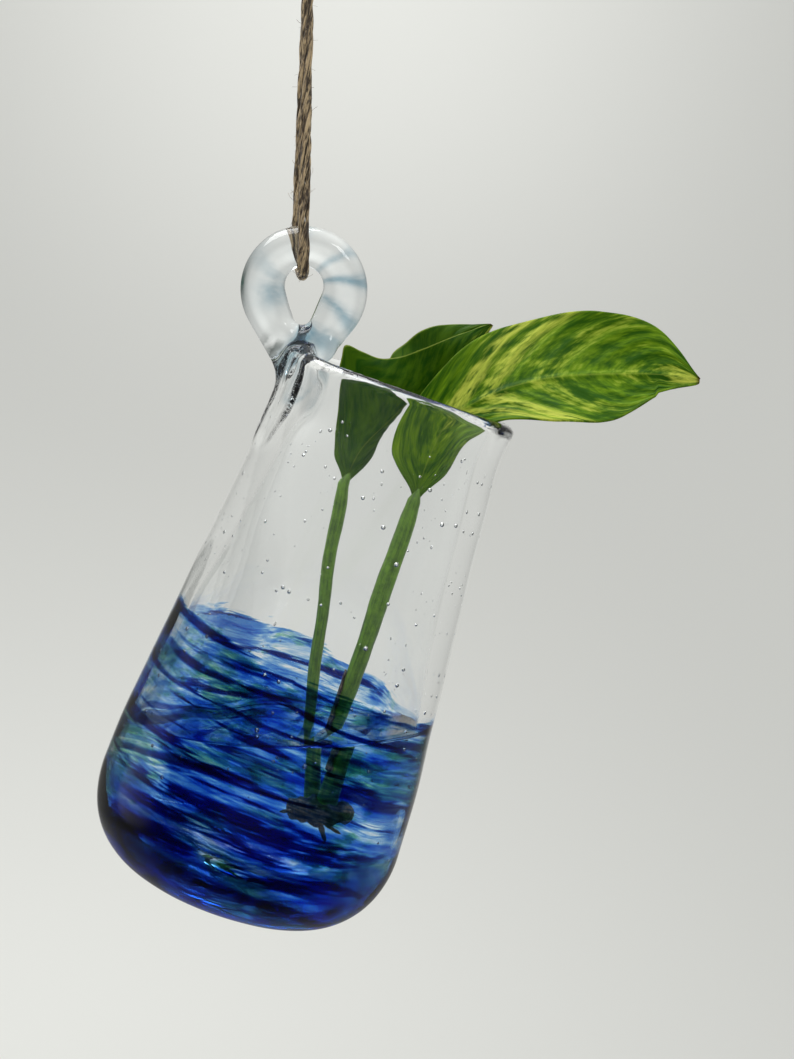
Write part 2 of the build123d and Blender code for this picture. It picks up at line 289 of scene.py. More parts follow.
def tube(path, radii, sides):
    """Points, faces and UVs of a closed tube along a path."""
    path = np.asarray(path)
    radii = np.broadcast_to(radii, len(path))
    _, side, up = frames_along(path)
    run = run_along(path)
    angle = np.linspace(0, 2 * pi, sides, endpoint=False)[None, :]
    ring = np.cos(angle)[..., None] * side[:, None] + np.sin(angle)[..., None] * up[:, None]
    points = (path[:, None] + ring * radii[:, None, None]).reshape(-1, 3)
    around = np.broadcast_to(np.linspace(0, 1, sides, endpoint=False), (len(path), sides))
    uv = np.stack((around, np.broadcast_to(run[:, None], around.shape)), axis=-1).reshape(-1, 2)
    faces = sheet_faces(len(path), sides, closed=True)
    last = len(path) * sides
    points = np.concatenate((points, path[:1], path[-1:]))
    uv = np.concatenate((uv, [[0.5, 0.0], [0.5, run[-1]]]))
    for i in range(sides):
        j = (i + 1) % sides
        faces.append((j, i, last))
        faces.append((last - sides + i, last - sides + j, last + 1))
    return points, faces, uv


def joined(parts):
    """Several (points, faces, UVs) as one."""
    points, faces, uvs, count = [], [], [], 0
    for part_points, part_faces, part_uv in parts:
        points.append(part_points)
        uvs.append(part_uv)
        faces.extend(tuple(i + count for i in face) for face in part_faces)
        count += len(part_points)
    return np.concatenate(points), faces, np.concatenate(uvs)


def arc_through(a, b, c, count):
    """Points on the circle from a through b to c."""
    ab, ac = b - a, c - a
    normal = np.cross(ab, ac)
    lean = np.cross(normal, ab) * (ac @ ac) + np.cross(ac, normal) * (ab @ ab)
    centre = a + lean / (2 * normal @ normal)
    first = a - centre
    second = np.cross(unit(normal), first)
    reach = np.arctan2((c - centre) @ second, (c - centre) @ first) % (2 * pi)
    angle = np.linspace(0, reach, count)[:, None]
    return centre + np.cos(angle) * first + np.sin(angle) * second


def smooth_through(knots, points, places):
    """A smooth line through points, at the given places along it."""
    points = np.asarray(points, float)
    slope = np.gradient(points, knots, axis=0)
    i = np.clip(np.searchsorted(knots, places, side="right") - 1, 0, len(knots) - 2)
    gap = (knots[i + 1] - knots[i])[:, None]
    t = ((places - knots[i])[:, None]) / gap
    return (
        points[i] * (1 + 2 * t) * (1 - t) ** 2
        + slope[i] * gap * t * (1 - t) ** 2
        + points[i + 1] * t * t * (3 - 2 * t)
        + slope[i + 1] * gap * t * t * (t - 1)
    )


# Nodes


def add(tree, kind, sockets=None, **settings):
    """A node with its settings, its sockets set to values or linked to other sockets."""
    node = tree.nodes.new(kind)
    for name, value in settings.items():
        setattr(node, name, value)
    for key, value in (sockets or {}).items():
        if isinstance(value, bpy.types.NodeSocket):
            tree.links.new(value, node.inputs[key])
        else:
            node.inputs[key].default_value = value
    return node


def wire(tree, kind, sockets=None, **settings):
    """The first output of such a node."""
    return add(tree, kind, sockets, **settings).outputs[0]


def coordinates(tree, kind):
    return add(tree, "ShaderNodeTexCoord").outputs[kind]


def math(tree, operation, first, second=0.0):
    return wire(tree, "ShaderNodeMath", {0: first, 1: second}, operation=operation)


def plus(tree, first, second):
    return math(tree, "ADD", first, second)


def less(tree, first, second):
    return math(tree, "SUBTRACT", first, second)


def times(tree, first, second):
    return math(tree, "MULTIPLY", first, second)


def mixed(tree, share, first, second, blend="MIX"):
    """A colour between two."""
    node = add(tree, "ShaderNodeMix", data_type="RGBA", blend_type=blend)
    for socket, value in zip((node.inputs[0], node.inputs[6], node.inputs[7]), (share, first, second)):
        if isinstance(value, bpy.types.NodeSocket):
            tree.links.new(value, socket)
        else:
            socket.default_value = value
    return node.outputs[2]


def ranged(tree, value, low, high, to_low=0.0, to_high=1.0):
    """A value eased from one range into another."""
    sockets = {"Value": value, 1: low, 2: high, 3: to_low, 4: to_high}
    return wire(tree, "ShaderNodeMapRange", sockets, interpolation_type="SMOOTHSTEP")


def weighed(tree, *pairs):
    """The sum of values, each times its weight."""
    terms = [times(tree, value, weight) for value, weight in pairs]
    while len(terms) > 1:
        terms[:2] = [plus(tree, terms[0], terms[1])]
    return terms[0]


def new_material(name):
    material = bpy.data.materials.new(name)
    material.use_nodes = True
    material.node_tree.nodes.clear()
    return material, material.node_tree


def finish_material(tree, surface):
    add(tree, "ShaderNodeOutputMaterial", {"Surface": surface})


def finish_surface(tree, sockets):
    finish_material(tree, wire(tree, "ShaderNodeBsdfPrincipled", sockets))


def new_group(name, kind, inputs, output):
    """A node group with named inputs and one output, and the sockets that its inputs come from."""
    tree = bpy.data.node_groups.new(name, kind)
    for socket, form in inputs.items():
        tree.interface.new_socket(socket, in_out="INPUT", socket_type="NodeSocket" + form)
    tree.interface.new_socket(output[0], in_out="OUTPUT", socket_type="NodeSocket" + output[1])
    return tree, tree.nodes.new("NodeGroupInput").outputs


def end_group(tree, value):
    """Lead a value to the group's output."""
    tree.links.new(value, tree.nodes.new("NodeGroupOutput").inputs[0])
    return tree


def grain_group():
    """Streaks along a direction: a stretched noise with a finer one in it, as one value."""
    if "vase_grain" in bpy.data.node_groups:
        return bpy.data.node_groups["vase_grain"]
    inputs = {"Place": "Vector", "Stretch": "Vector", "Contrast": "Float"}
    tree, start = new_group("vase_grain", "ShaderNodeTree", inputs, ("Grain", "Float"))
    sockets = {0: start["Place"], 1: start["Stretch"]}
    place = wire(tree, "ShaderNodeVectorMath", sockets, operation="MULTIPLY")
    coarse = wire(tree, "ShaderNodeTexNoise", {"Vector": place, "Scale": 1.0, "Detail": 3.0})
    fine = wire(tree, "ShaderNodeTexNoise", {"Vector": place, "Scale": 3.7, "Detail": 4.0})
    centred = less(tree, weighed(tree, (coarse, 0.6), (fine, 0.4)), 0.5)
    streaks = plus(tree, times(tree, centred, start["Contrast"]), 0.5)
    return end_group(tree, wire(tree, "ShaderNodeClamp", {"Value": streaks}))


def grain(tree, place, stretch, contrast):
    sockets = {"Place": place, "Stretch": stretch, "Contrast": contrast}
    return wire(tree, "ShaderNodeGroup", sockets, node_tree=grain_group())


def bump(tree, height, strength, distance):
    return wire(tree, "ShaderNodeBump", {"Height": height, "Strength": strength, "Distance": distance})


def finish_clear(tree, tint, ior, shadow, **more):
    """A clear surface that lets lamps and bounced light straight through, tinted, to what it holds."""
    sockets = {"Base Color": tint, "Roughness": 0.0, "IOR": ior, "Transmission Weight": 1.0, **more}
    surface = wire(tree, "ShaderNodeBsdfPrincipled", sockets)
    path = add(tree, "ShaderNodeLightPath").outputs
    straight = math(tree, "MAXIMUM", path["Is Shadow Ray"], path["Is Diffuse Ray"])
    clear = wire(tree, "ShaderNodeBsdfTransparent", {"Color": shadow})
    finish_material(tree, wire(tree, "ShaderNodeMixShader", {0: straight, 1: surface, 2: clear}))


def painted_parts(tree, name):
    """The red and the green part of a colour attribute."""
    painted = wire(tree, "ShaderNodeAttribute", attribute_name=name)
    return add(tree, "ShaderNodeSeparateColor", {0: painted}).outputs[:2]


def vase_place(tree):
    """Object coordinates turned so that Z runs along the vase from its base, in millimetres."""
    place = coordinates(tree, "Object")
    moved = wire(tree, "ShaderNodeVectorMath", {0: place, 1: tuple(BASE)}, operation="SUBTRACT")
    turn = Matrix((ACROSS, BEHIND, ALONG)).to_euler()
    sockets = {"Vector": moved, "Rotation": tuple(turn), "Scale": (1 / MM,) * 3}
    return wire(tree, "ShaderNodeMapping", sockets, vector_type="POINT")


# Glass

# Blue bands across the loop: the angle of the middle and the half width in degrees, strength
FOLD_BANDS = ((46, 5, 0.55), (14, 6, 0.8), (-30, 9, 0.7), (96, 9, 0.3), (150, 12, 0.25))
# The fold at the loop's foot, right and up in mm: its start from the loop's middle, its run and its length
FOLD_START = (-5.6, -18.6)
FOLD_RUN = (6.8, 9.2)
FOLD_LENGTH = 11.44
LOOP_DROP = 0.9 * MM  # from the middle of the eye's round end down to the loop's middle
# How far the loop and its tail melt into the body, and how deep the creases at the loop's foot are
LOOP_MELT = 2.4 * MM
TAIL_MELT = 5.0 * MM
CREASE_DEPTH = 0.17 * MM
# Dabs of glass left where the loop was fixed, in mm: the middle across, behind and along, then half the
# width, height and depth, and how far it melts into the rest
DABS = (
    ((-22.0, -16.2, 121.6), 3.8, 4.8, 0.7, 2.2),
    ((-20.2, -3.2, 131.4), 2.4, 3.2, 2.4, 1.8),
)


def rounded_wedge(a, b, facing, radius):
    """Distance inside two planes with a rounded corner. facing is the product of their normals."""
    a, b = a + radius, b + radius
    on_corner = (a > facing * b) & (b > facing * a)
    corner = np.sqrt(np.maximum(a * a + b * b - 2 * facing * a * b, 0) / (1 - facing**2))
    return np.where(on_corner, corner, np.maximum(a, b)) - radius


def melt(a, b, reach):
    """Two solids run together, with a fillet about as large as reach."""
    share = clamped(0.5 + 0.5 * (b - a) / reach)
    return b + (a - b) * share - reach * share * (1 - share)


def drop_shape(x, y, first, first_radius, second, second_radius):
    """Distance to the outline round two circles, in a plane."""
    span = np.hypot(second[0] - first[0], second[1] - first[1])
    way = ((second[0] - first[0]) / span, (second[1] - first[1]) / span)
    down = (x - first[0]) * way[0] + (y - first[1]) * way[1]
    side = np.abs((x - first[0]) * way[1] - (y - first[1]) * way[0])
    lean = (first_radius - second_radius) / span
    flank = sqrt(1 - lean**2)
    place = down * flank - side * lean
    flat = side * flank + down * lean - first_radius
    near, far = np.hypot(side, down) - first_radius, np.hypot(side, down - span) - second_radius
    return np.where(place < 0, near, np.where(place > flank * span, far, flat))


class GlassForm:
    """The blown body and its loop as one solid, given by a distance that is negative inside."""

    def __init__(self, sizes):
        self.sizes = sizes
        self.taper = tan(sizes.taper)
        self.foot = sizes.mouth_radius + sizes.body_height * self.taper
        self.cavity_foot = self.foot - sizes.wall_at_base
        cavity_mouth = sizes.mouth_radius - sizes.wall_at_mouth
        self.cavity_slope = (self.cavity_foot - cavity_mouth) / sizes.body_height
        self.lip_radius = sizes.lip_thickness / 2
        lip_out = sizes.mouth_radius + sizes.lip_flare
        self.flare_out = sizes.lip_flare - self.lip_radius * self.taper
        self.flare_in = lip_out - sizes.lip_thickness - cavity_mouth - self.lip_radius * self.cavity_slope
        lip = BASE - ACROSS * (lip_out - self.lip_radius) + ALONG * (sizes.body_height - self.lip_radius)
        self.lip_at = (lip[0], lip[2])
        self.eye_top = (EYE_TOP[0], EYE_TOP[2])
        self.loop_middle = (EYE_TOP[0], EYE_TOP[2] - LOOP_DROP)
        towards = unit(np.subtract(self.lip_at, self.loop_middle))
        self.eye_end = np.add(self.loop_middle, towards * sizes.eye_point)

    def cavity_radius(self, w):
        return self.cavity_foot - self.cavity_slope * w

    def cavity(self, r, w):
        """Negative in the hollow."""
        lean = np.arctan(self.cavity_slope)
        wall = (r - self.cavity_radius(w)) * cos(lean)
        corner = self.sizes.base_corner - self.sizes.wall_at_base
        return rounded_wedge(wall, self.sizes.base_thickness - w, -sin(lean), corner)

    def floor_round(self, out):
        """The cavity moved out into the glass: floor, flat radius, corner, its sweep, the wall's shift."""
        sizes = self.sizes
        lean = np.arctan(self.cavity_slope)
        floor = sizes.base_thickness - out
        corner = sizes.base_corner - sizes.wall_at_base + out
        reach = self.cavity_radius(floor) + out / cos(lean)
        flat = reach - corner * tan((pi / 2 - lean) / 2 + lean)
        return floor, flat, corner, pi / 2 + lean, out / cos(lean)

    def unevenness(self, angle, w):
        """Slow waves round and along a blown wall."""
        turn = w / (31 * MM)
        waves = np.sin(3 * angle + 0.7 * turn) + 0.6 * np.sin(7 * angle - 1.3 * turn + 1.0)
        waves = waves + 0.35 * np.sin(13 * angle + 0.9 * turn + 2.0) + 0.8 * np.sin(2 * angle + 5.2 * turn)
        return (waves + 0.5 * np.sin(angle + 9.0 * turn + 1.0)) * self.sizes.ripple

    def body(self, u, v, w):
        sizes = self.sizes
        angle = np.arctan2(v, u)
        r = np.hypot(u, v)
        rise = (w - sizes.body_height + sizes.flare_height) / (sizes.flare_height - self.lip_radius)
        flare = np.clip(rise, 0, 1.1) ** 2
        drawn_in = 0.9 * MM * bell((w - 19 * MM) / (13 * MM))
        outside = r + drawn_in - flare * self.flare_out - 0.6 * self.unevenness(angle + 1.0, w)
        inside = r - flare * self.flare_in + self.unevenness(angle, w)
        side = (outside - self.foot + self.taper * w) * cos(sizes.taper)
        outer = rounded_wedge(side, -w, -sin(sizes.taper), sizes.base_corner)
        rim = w - sizes.body_height + 0.2 * MM * np.sin(2 * angle + 1.0)
        return rounded_wedge(np.maximum(outer, -self.cavity(inside, w)), rim, 0.0, 0.95 * self.lip_radius)

    def loop(self, points):
        """The ring with its eye, creased where its two ends were pressed together."""
        sizes = self.sizes
        x, y, z = points[..., 0], points[..., 1], points[..., 2]
        whole = drop_shape(x, z, self.loop_middle, sizes.loop_radius, self.lip_at, sizes.foot_radius)
        eye = drop_shape(x, z, self.eye_top, sizes.eye_radius, self.eye_end, sizes.eye_end_radius)
        depth = np.abs(y) - sizes.loop_depth / 2
        ring = rounded_wedge(np.maximum(whole, -eye), depth, 0.0, sizes.loop_rounding)
        crease = (x - self.eye_end[0]) * 0.8 - (z - self.eye_end[1]) * 0.6
        near_foot = np.hypot(x - self.eye_end[0] + 1.5 * MM, z - self.eye_end[1] + 4 * MM)
        return ring + CREASE_DEPTH * np.sin(crease / (1.0 * MM)) * bell(near_foot / (6 * MM))

    def tail(self, u, v, w):
        """The foot's end, drawn out down the outer wall."""
        sizes = self.sizes
        top = sizes.body_height - sizes.lip_thickness
        below = clamped((top - w) / sizes.tongue_length)
        wall = sizes.mouth_radius + (sizes.body_height - w) * self.taper
        past_end = np.maximum(np.maximum(w - top, top - sizes.tongue_length - w), 0)
        spread = np.sqrt(((u + wall - 2.2 * MM) / 0.7) ** 2 + v**2 + past_end**2)
        return (spread - 4 * MM * (1 - 0.6 * below)) * 0.7

    def dab(self, u, v, w, middle, half_width, half_height, half_depth):
        """A flat round dab of glass on the wall."""
        out = unit(np.array(middle[:2]))
        du, dv, dw = u - middle[0], v - middle[1], w - middle[2]
        deep = (du * out[0] + dv * out[1]) / half_depth
        wide = (du * out[1] - dv * out[0]) / half_width
        return (np.sqrt(deep**2 + wide**2 + (dw / half_height) ** 2) - 1) * half_depth

    def distance(self, points):
        u, v, w = in_vase(points)
        glass = melt(self.body(u, v, w), self.loop(points), LOOP_MELT)
        glass = melt(glass, self.tail(u, v, w), TAIL_MELT)
        for middle, width, height, depth, reach in DABS:
            lump = self.dab(u, v, w, np.array(middle) * MM, width * MM, height * MM, depth * MM)
            glass = melt(glass, lump, reach * MM)
        return glass

    def slope(self, points):
        """The way out of the solid at each point."""
        step = 0.02 * MM
        parts = []
        for axis in np.eye(3):
            parts.append(self.distance(points + axis * step) - self.distance(points - axis * step))
        return np.stack(parts, axis=-1) / (2 * step)

    def from_loop(self, points):
        """How far points are to the right of the loop's middle and over it, in millimetres."""
        return (points[:, 0] - self.loop_middle[0]) / MM, (points[:, 2] - self.loop_middle[1]) / MM

    def fold_density(self, points):
        """Slate blue in the loop: bands across one arm, a smudge on the other and the foot's fold."""
        x, z = self.from_loop(points)
        reach = np.hypot(x, z)
        angle = np.degrees(np.arctan2(z, x)) + 2.2 * (reach - 10)
        density = np.zeros(len(points))
        for middle, width, strength in FOLD_BANDS:
            density += strength * bell((angle - middle) / width) * (reach > 5) * (reach < 16)
        density += 0.6 * np.exp(-((x + 7.5) ** 2 + (z + 1.0) ** 2) / 10) + 0.10 * (reach < 16)
        way = np.array(FOLD_RUN) / FOLD_LENGTH
        from_start = (x - FOLD_START[0], z - FOLD_START[1])
        down = np.clip(from_start[0] * way[0] + from_start[1] * way[1], 0, FOLD_LENGTH)
        off = np.hypot(from_start[0] - way[0] * down, from_start[1] - way[1] * down)
        density += bell(off / 2.0)
        density += 0.7 * np.exp(-((x - 4.6) ** 2 + (z + 12.0) ** 2) / 7)
        u, v, w = in_vase(points)
        aside, down = u / MM + 22.5, w / MM - 122.0
        pad = np.hypot((aside * 0.378 + down * 0.926) / 5.0, (aside * 0.926 - down * 0.378) / 2.5)
        rim = 0.75 * bell((pad - 1) / 0.2) * clamped(0.35 + (aside - down) / 5)
        density += (rim + 0.32 * clamped((1 - pad) / 0.3)) * (v < -8 * MM)
        return clamped(density)

    def painted_dark_reflection_density(self, points):
        """Painted dark reflection of the room: how much dark green, in a band and dashes, lies along the
        loop's far left edge.
        """
        x, z = self.from_loop(points)
        around = np.degrees(np.arctan2(z, -x))
        outward = clamped((np.hypot(x, z) - 12.6) / 1.4)
        dashes = bell((around + 62) / 12) * (np.sin(np.radians(around * 26)) > 0)
        return outward * np.maximum(bell((around - 6) / 30), 0.8 * dashes)


def spaced(*stretches):
    """Grid places over stretches of (start, end, step), in metres."""
    places = [np.arange(start, end - step / 2, step) for start, end, step in stretches]
    return np.concatenate(places + [[stretches[-1][1]]]) * MM


def skin_of(form):
    """Points, faces and normals on a solid's surface: one point in each grid cell that it passes through."""
    us = spaced((-46, -12, 0.62), (-12, 43, 1.28))
    vs = spaced((-41, -9, 1.2), (-9, 9, 0.66), (9, 41, 1.2))
    ws = spaced((-2, 104, 1.25), (104, 160, 0.62))
    grid = np.stack(np.meshgrid(us, vs, ws, indexing="ij"), axis=-1)
    points = BASE + grid[..., :1] * ACROSS + grid[..., 1:2] * BEHIND + grid[..., 2:] * ALONG
    value = form.distance(points)
    shape = np.array(value.shape)
    total, count = np.zeros((*(shape - 1), 3)), np.zeros(shape - 1)
    crossings = []
    for axis in range(3):
        low = [slice(None)] * 3
        high = [slice(None)] * 3
        low[axis], high[axis] = slice(0, -1), slice(1, None)
        first, second = value[tuple(low)], value[tuple(high)]
        cut = np.argwhere((first < 0) != (second < 0))
        others = [k for k in range(3) if k != axis]
        inner = ((cut[:, others] > 0) & (cut[:, others] < shape[others] - 1)).all(axis=1)
        cut = cut[inner]
        key = tuple(cut.T)
        share = (first[key] / (first[key] - second[key]))[:, None]
        step = np.eye(3, dtype=int)[axis]
        start, end = points[key], points[tuple((cut + step).T)]
        place = start + (end - start) * share
        around = []
        for a, b in ((-1, -1), (0, -1), (0, 0), (-1, 0)):
            cell = cut.copy()
            cell[:, others[0]] += a
            cell[:, others[1]] += b
            np.add.at(total, tuple(cell.T), place)
            np.add.at(count, tuple(cell.T), 1)
            around.append(cell)
        outward = (first[key] < 0) == (axis != 1)
        crossings.append((around, outward))
    number = np.full(count.shape, -1)
    used = count > 0
    number[used] = np.arange(used.sum())
    skin = total[used] / count[used][:, None]
    faces = []
    for around, outward in crossings:
        quad = np.stack([number[tuple(cell.T)] for cell in around], axis=1)
        quad[~outward] = quad[~outward][:, ::-1]
        faces.append(quad)
    for _ in range(4):
        slope = form.slope(skin)
        skin = skin - slope * (form.distance(skin) / np.maximum((slope**2).sum(-1), 0.2))[:, None]
    return skin, np.concatenate(faces), unit(form.slope(skin))


def clear_glass_material(sizes):
    material, tree = new_material("clear_glass")
    # edge, the green part, is the painted dark reflection along the loop's left edge
    fold, edge = painted_parts(tree, "fold")
    streak = grain(tree, vase_place(tree), (0.16, 0.16, 0.30), 2.0)
    share = times(tree, fold, ranged(tree, streak, 0.15, 0.6, 0.45, 1.0))
    folded = mixed(tree, share, tuple(sizes.tint), tuple(sizes.fold_tint))
    tint = mixed(tree, edge, folded, tuple(sizes.painted_dark_reflection_tint))
    finish_clear(tree, tint, GLASS_IOR, tuple(sizes.tint))
    return material


def scatter_group(name, *sizes):
    """A tree that scatters points over a mesh, with its inputs and the points."""
    inputs = {"Geometry": "Geometry", "Count": "Int", "Seed": "Int", **dict.fromkeys(sizes, "Float")}
    inputs["Material"] = "Material"
    tree, start = new_group(name, "GeometryNodeTree", inputs, ("Geometry", "Geometry"))
    face_area = wire(tree, "GeometryNodeInputMeshFaceArea")
    sockets = {"Geometry": start["Geometry"], "Attribute": face_area}
    total = add(tree, "GeometryNodeAttributeStatistic", sockets, data_type="FLOAT", domain="FACE")
    density = math(tree, "DIVIDE", start["Count"], total.outputs["Sum"])
    sockets = {"Mesh": start["Geometry"], "Density": density, "Seed": start["Seed"]}
    return tree, start, add(tree, "GeometryNodeDistributePointsOnFaces", sockets).outputs


def random_way(tree, start, low, high):
    sockets = {"Min": low, "Max": high, "Seed": start["Seed"]}
    return wire(tree, "FunctionNodeRandomValue", sockets, data_type="FLOAT_VECTOR")


def random_size(tree, start, least, power, size):
    """A size that is seldom near its largest."""
    chance = add(tree, "FunctionNodeRandomValue", {2: least, 3: 1.0, "Seed": start["Seed"]}).outputs[1]
    return times(tree, math(tree, "POWER", chance, power), start[size])


def end_scatter(tree, start, sockets, inside_out=False):
    """Set a shape on the points, and make it plain faces of the piece's material."""
    placed = wire(tree, "GeometryNodeInstanceOnPoints", sockets)
    solid = wire(tree, "GeometryNodeRealizeInstances", {"Geometry": placed})
    if inside_out:
        solid = wire(tree, "GeometryNodeFlipFaces", {"Mesh": solid})
    sockets = {"Geometry": solid, "Material": start["Material"]}
    return end_group(tree, wire(tree, "GeometryNodeSetMaterial", sockets))


def bubble_tree():
    """Small round bubbles scattered through a wall, turned inside out, as holes in glass are."""
    tree, start, scatter = scatter_group("vase_bubbles", "Spread", "Radius")
    aside = random_way(tree, start, (-1.0,) * 3, (1.0,) * 3)
    offset = wire(tree, "ShaderNodeVectorMath", {0: aside, "Scale": start["Spread"]}, operation="SCALE")
    moved = wire(tree, "GeometryNodeSetPosition", {"Geometry": scatter["Points"], "Offset": offset})
    ball = wire(tree, "GeometryNodeMeshIcoSphere", {"Radius": 1.0, "Subdivisions": 2})
    size = random_size(tree, start, 0.4, 3.5, "Radius")
    return end_scatter(tree, start, {"Points": moved, "Instance": ball, "Scale": size}, inside_out=True)


def plain_mesh(piece):
    """A piece's mesh, as its modifiers or its curve make it."""
    graph = bpy.context.evaluated_depsgraph_get()
    return bpy.data.meshes.new_from_object(piece.evaluated_get(graph), depsgraph=graph)


def run_tree(piece, tree, inputs):
    """The mesh that a tree makes of a piece, as plain data."""
    modifier = piece.modifiers.new(tree.name, "NODES")
    modifier.node_group = tree
    sockets = {item.name: item.identifier for item in tree.interface.items_tree if item.in_out == "INPUT"}
    for name, value in inputs.items():
        modifier[sockets[name]] = value
    mesh = plain_mesh(piece)
    piece.modifiers.remove(modifier)
    return mesh


def mesh_arrays(mesh):
    points = np.zeros(len(mesh.vertices) * 3)
    mesh.vertices.foreach_get("co", points)
    return points.reshape(-1, 3), [tuple(polygon.vertices) for polygon in mesh.polygons]


def bubble_mesh(form, sizes, material):
    """Seed bubbles in the middle of the wall, over its whole height."""
    heights = np.linspace(28, 120, 40) * MM
    angle = np.linspace(0, 2 * pi, 64, endpoint=False)
    outer = form.foot - form.taper * heights
    middle = (outer + form.cavity_radius(heights)) / 2
    ring = ring_round(angle)
    points = (BASE + heights[:, None, None] * ALONG + middle[:, None, None] * ring).reshape(-1, 3)
    wall = mesh_object("wall_middle", points, sheet_faces(len(heights), len(angle), closed=True))
    mesh = run_tree(wall, bubble_tree(), {
        "Count": sizes.bubble_count, "Seed": sizes.bubble_seed, "Spread": 0.6 * MM, "Radius": 0.55 * MM,
        "Material": material,
    })
    bpy.data.objects.remove(wall)
    return mesh_arrays(mesh)


class VASE_OT_glass(bpy.types.Operator):
    """Blow the clear body with its loop and its seed bubbles"""

    bl_idname = "vase.glass"
    bl_label = "Clear glass"

    def execute(self, context):
        sizes = context.scene.vase_glass
        form = GlassForm(sizes)
        points, faces, normals = skin_of(form)
        material = clear_glass_material(sizes)
        bubbles, bubble_faces = bubble_mesh(form, sizes, material)
        shift = len(points)
        every = np.concatenate((points, bubbles))
        quads = [tuple(face) for face in faces]
        quads.extend(tuple(i + shift for i in face) for face in bubble_faces)
        piece = mesh_object("blown_glass", every, quads, material)
        own = np.zeros((len(every), 3))
        own[:shift] = normals
        piece.data.normals_split_custom_set_from_vertices(own.tolist())
        # Red: the blue folds; green: the painted dark reflection along the loop's left edge
        fold = np.zeros((len(every), 4))
        fold[:shift, 0] = form.fold_density(points)
        fold[:shift, 1] = form.painted_dark_reflection_density(points)
        paint(piece.data, "fold", fold)
        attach(piece, "vase")
        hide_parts("clear_body", "hanging_loop")
        return {"FINISHED"}


# Blue swirl

# Trails of thick colour: height at the front in mm, half width in mm, strength, first and last turn in
# radians, fall to the right in mm a radian
TRAILS = (
    (62.6, 1.7, 1.3, -1.9, 2.4, 5.2),
    (58.5, 0.6, 0.6, -1.6, 0.4, 0.8),
    (54.5, 1.0, 0.9, -1.5, 1.6, 6.0),
    (49.0, 0.7, 0.8, -2.0, 0.9, 0.4),
    (45.0, 0.9, 0.8, -1.2, 2.2, 6.5),
    (39.5, 0.5, 0.6, -1.7, 0.6, 1.4),
    (35.2, 1.7, 1.0, -2.0, 0.9, 0.6),
    (31.0, 0.8, 0.8, -0.9, 2.4, 5.0),
    (26.0, 1.9, 1.0, -2.2, 1.3, 1.8),
    (21.0, 1.2, 0.9, -1.3, 2.6, 5.0),
    (15.5, 1.9, 0.9, -2.6, 1.2, 1.0),
    (9.5, 2.0, 0.8, -0.8, 3.0, 2.0),
    (5.5, 1.6, 0.7, -3.1, 0.6, 0.4),
    (66.0, 0.8, 0.6, 1.9, 4.6, 1.0),
    (61.0, 1.2, 0.9, 2.2, 4.9, -1.0),
    (55.0, 1.3, 0.8, 2.0, 4.4, 1.6),
    (49.0, 0.8, 0.8, 2.1, 4.2, -1.6),
    (43.0, 1.5, 0.9, 2.0, 4.6, 1.0),
    (36.0, 1.1, 0.8, 2.4, 5.2, 0.0),
    (28.0, 1.6, 0.8, 2.0, 4.8, -1.0),
    (20.0, 1.4, 0.7, 2.0, 4.6, 1.0),
)


def trail_density(angle, w):
    """How much of the trails lies at each place. angle is 0 at the front and grows to the right."""
    height = w / MM
    wander = 0.9 * np.sin(2.1 * angle + height / 9) + 0.5 * np.sin(4.7 * angle - height / 5 + 1.0)
    density = np.zeros_like(height)
    for front, half, strength, first, last, fall in TRAILS:
        middle = (first + last) / 2
        for turn in (-2 * pi, 0.0, 2 * pi):
            place = angle + turn
            turned = place - middle if first > 1.5 else np.where(place > 0, place, 0.15 * place)
            line = front - fall * turned + wander
            width = half * (1 + 0.45 * np.sin(1.7 * place + front))
            ends = clamped((place - first) / 0.6) * clamped((last - place) / 0.6)
            density = np.maximum(density, strength * ends * bell((height - line) / width))
    return density


def absorbed(tree, density, per_channel):
    """The colour of light that is left after passing a density that takes away some of each channel."""
    parts = [math(tree, "EXPONENT", times(tree, density, -take)) for take in per_channel]
    return wire(tree, "ShaderNodeCombineColor", dict(enumerate(parts)))


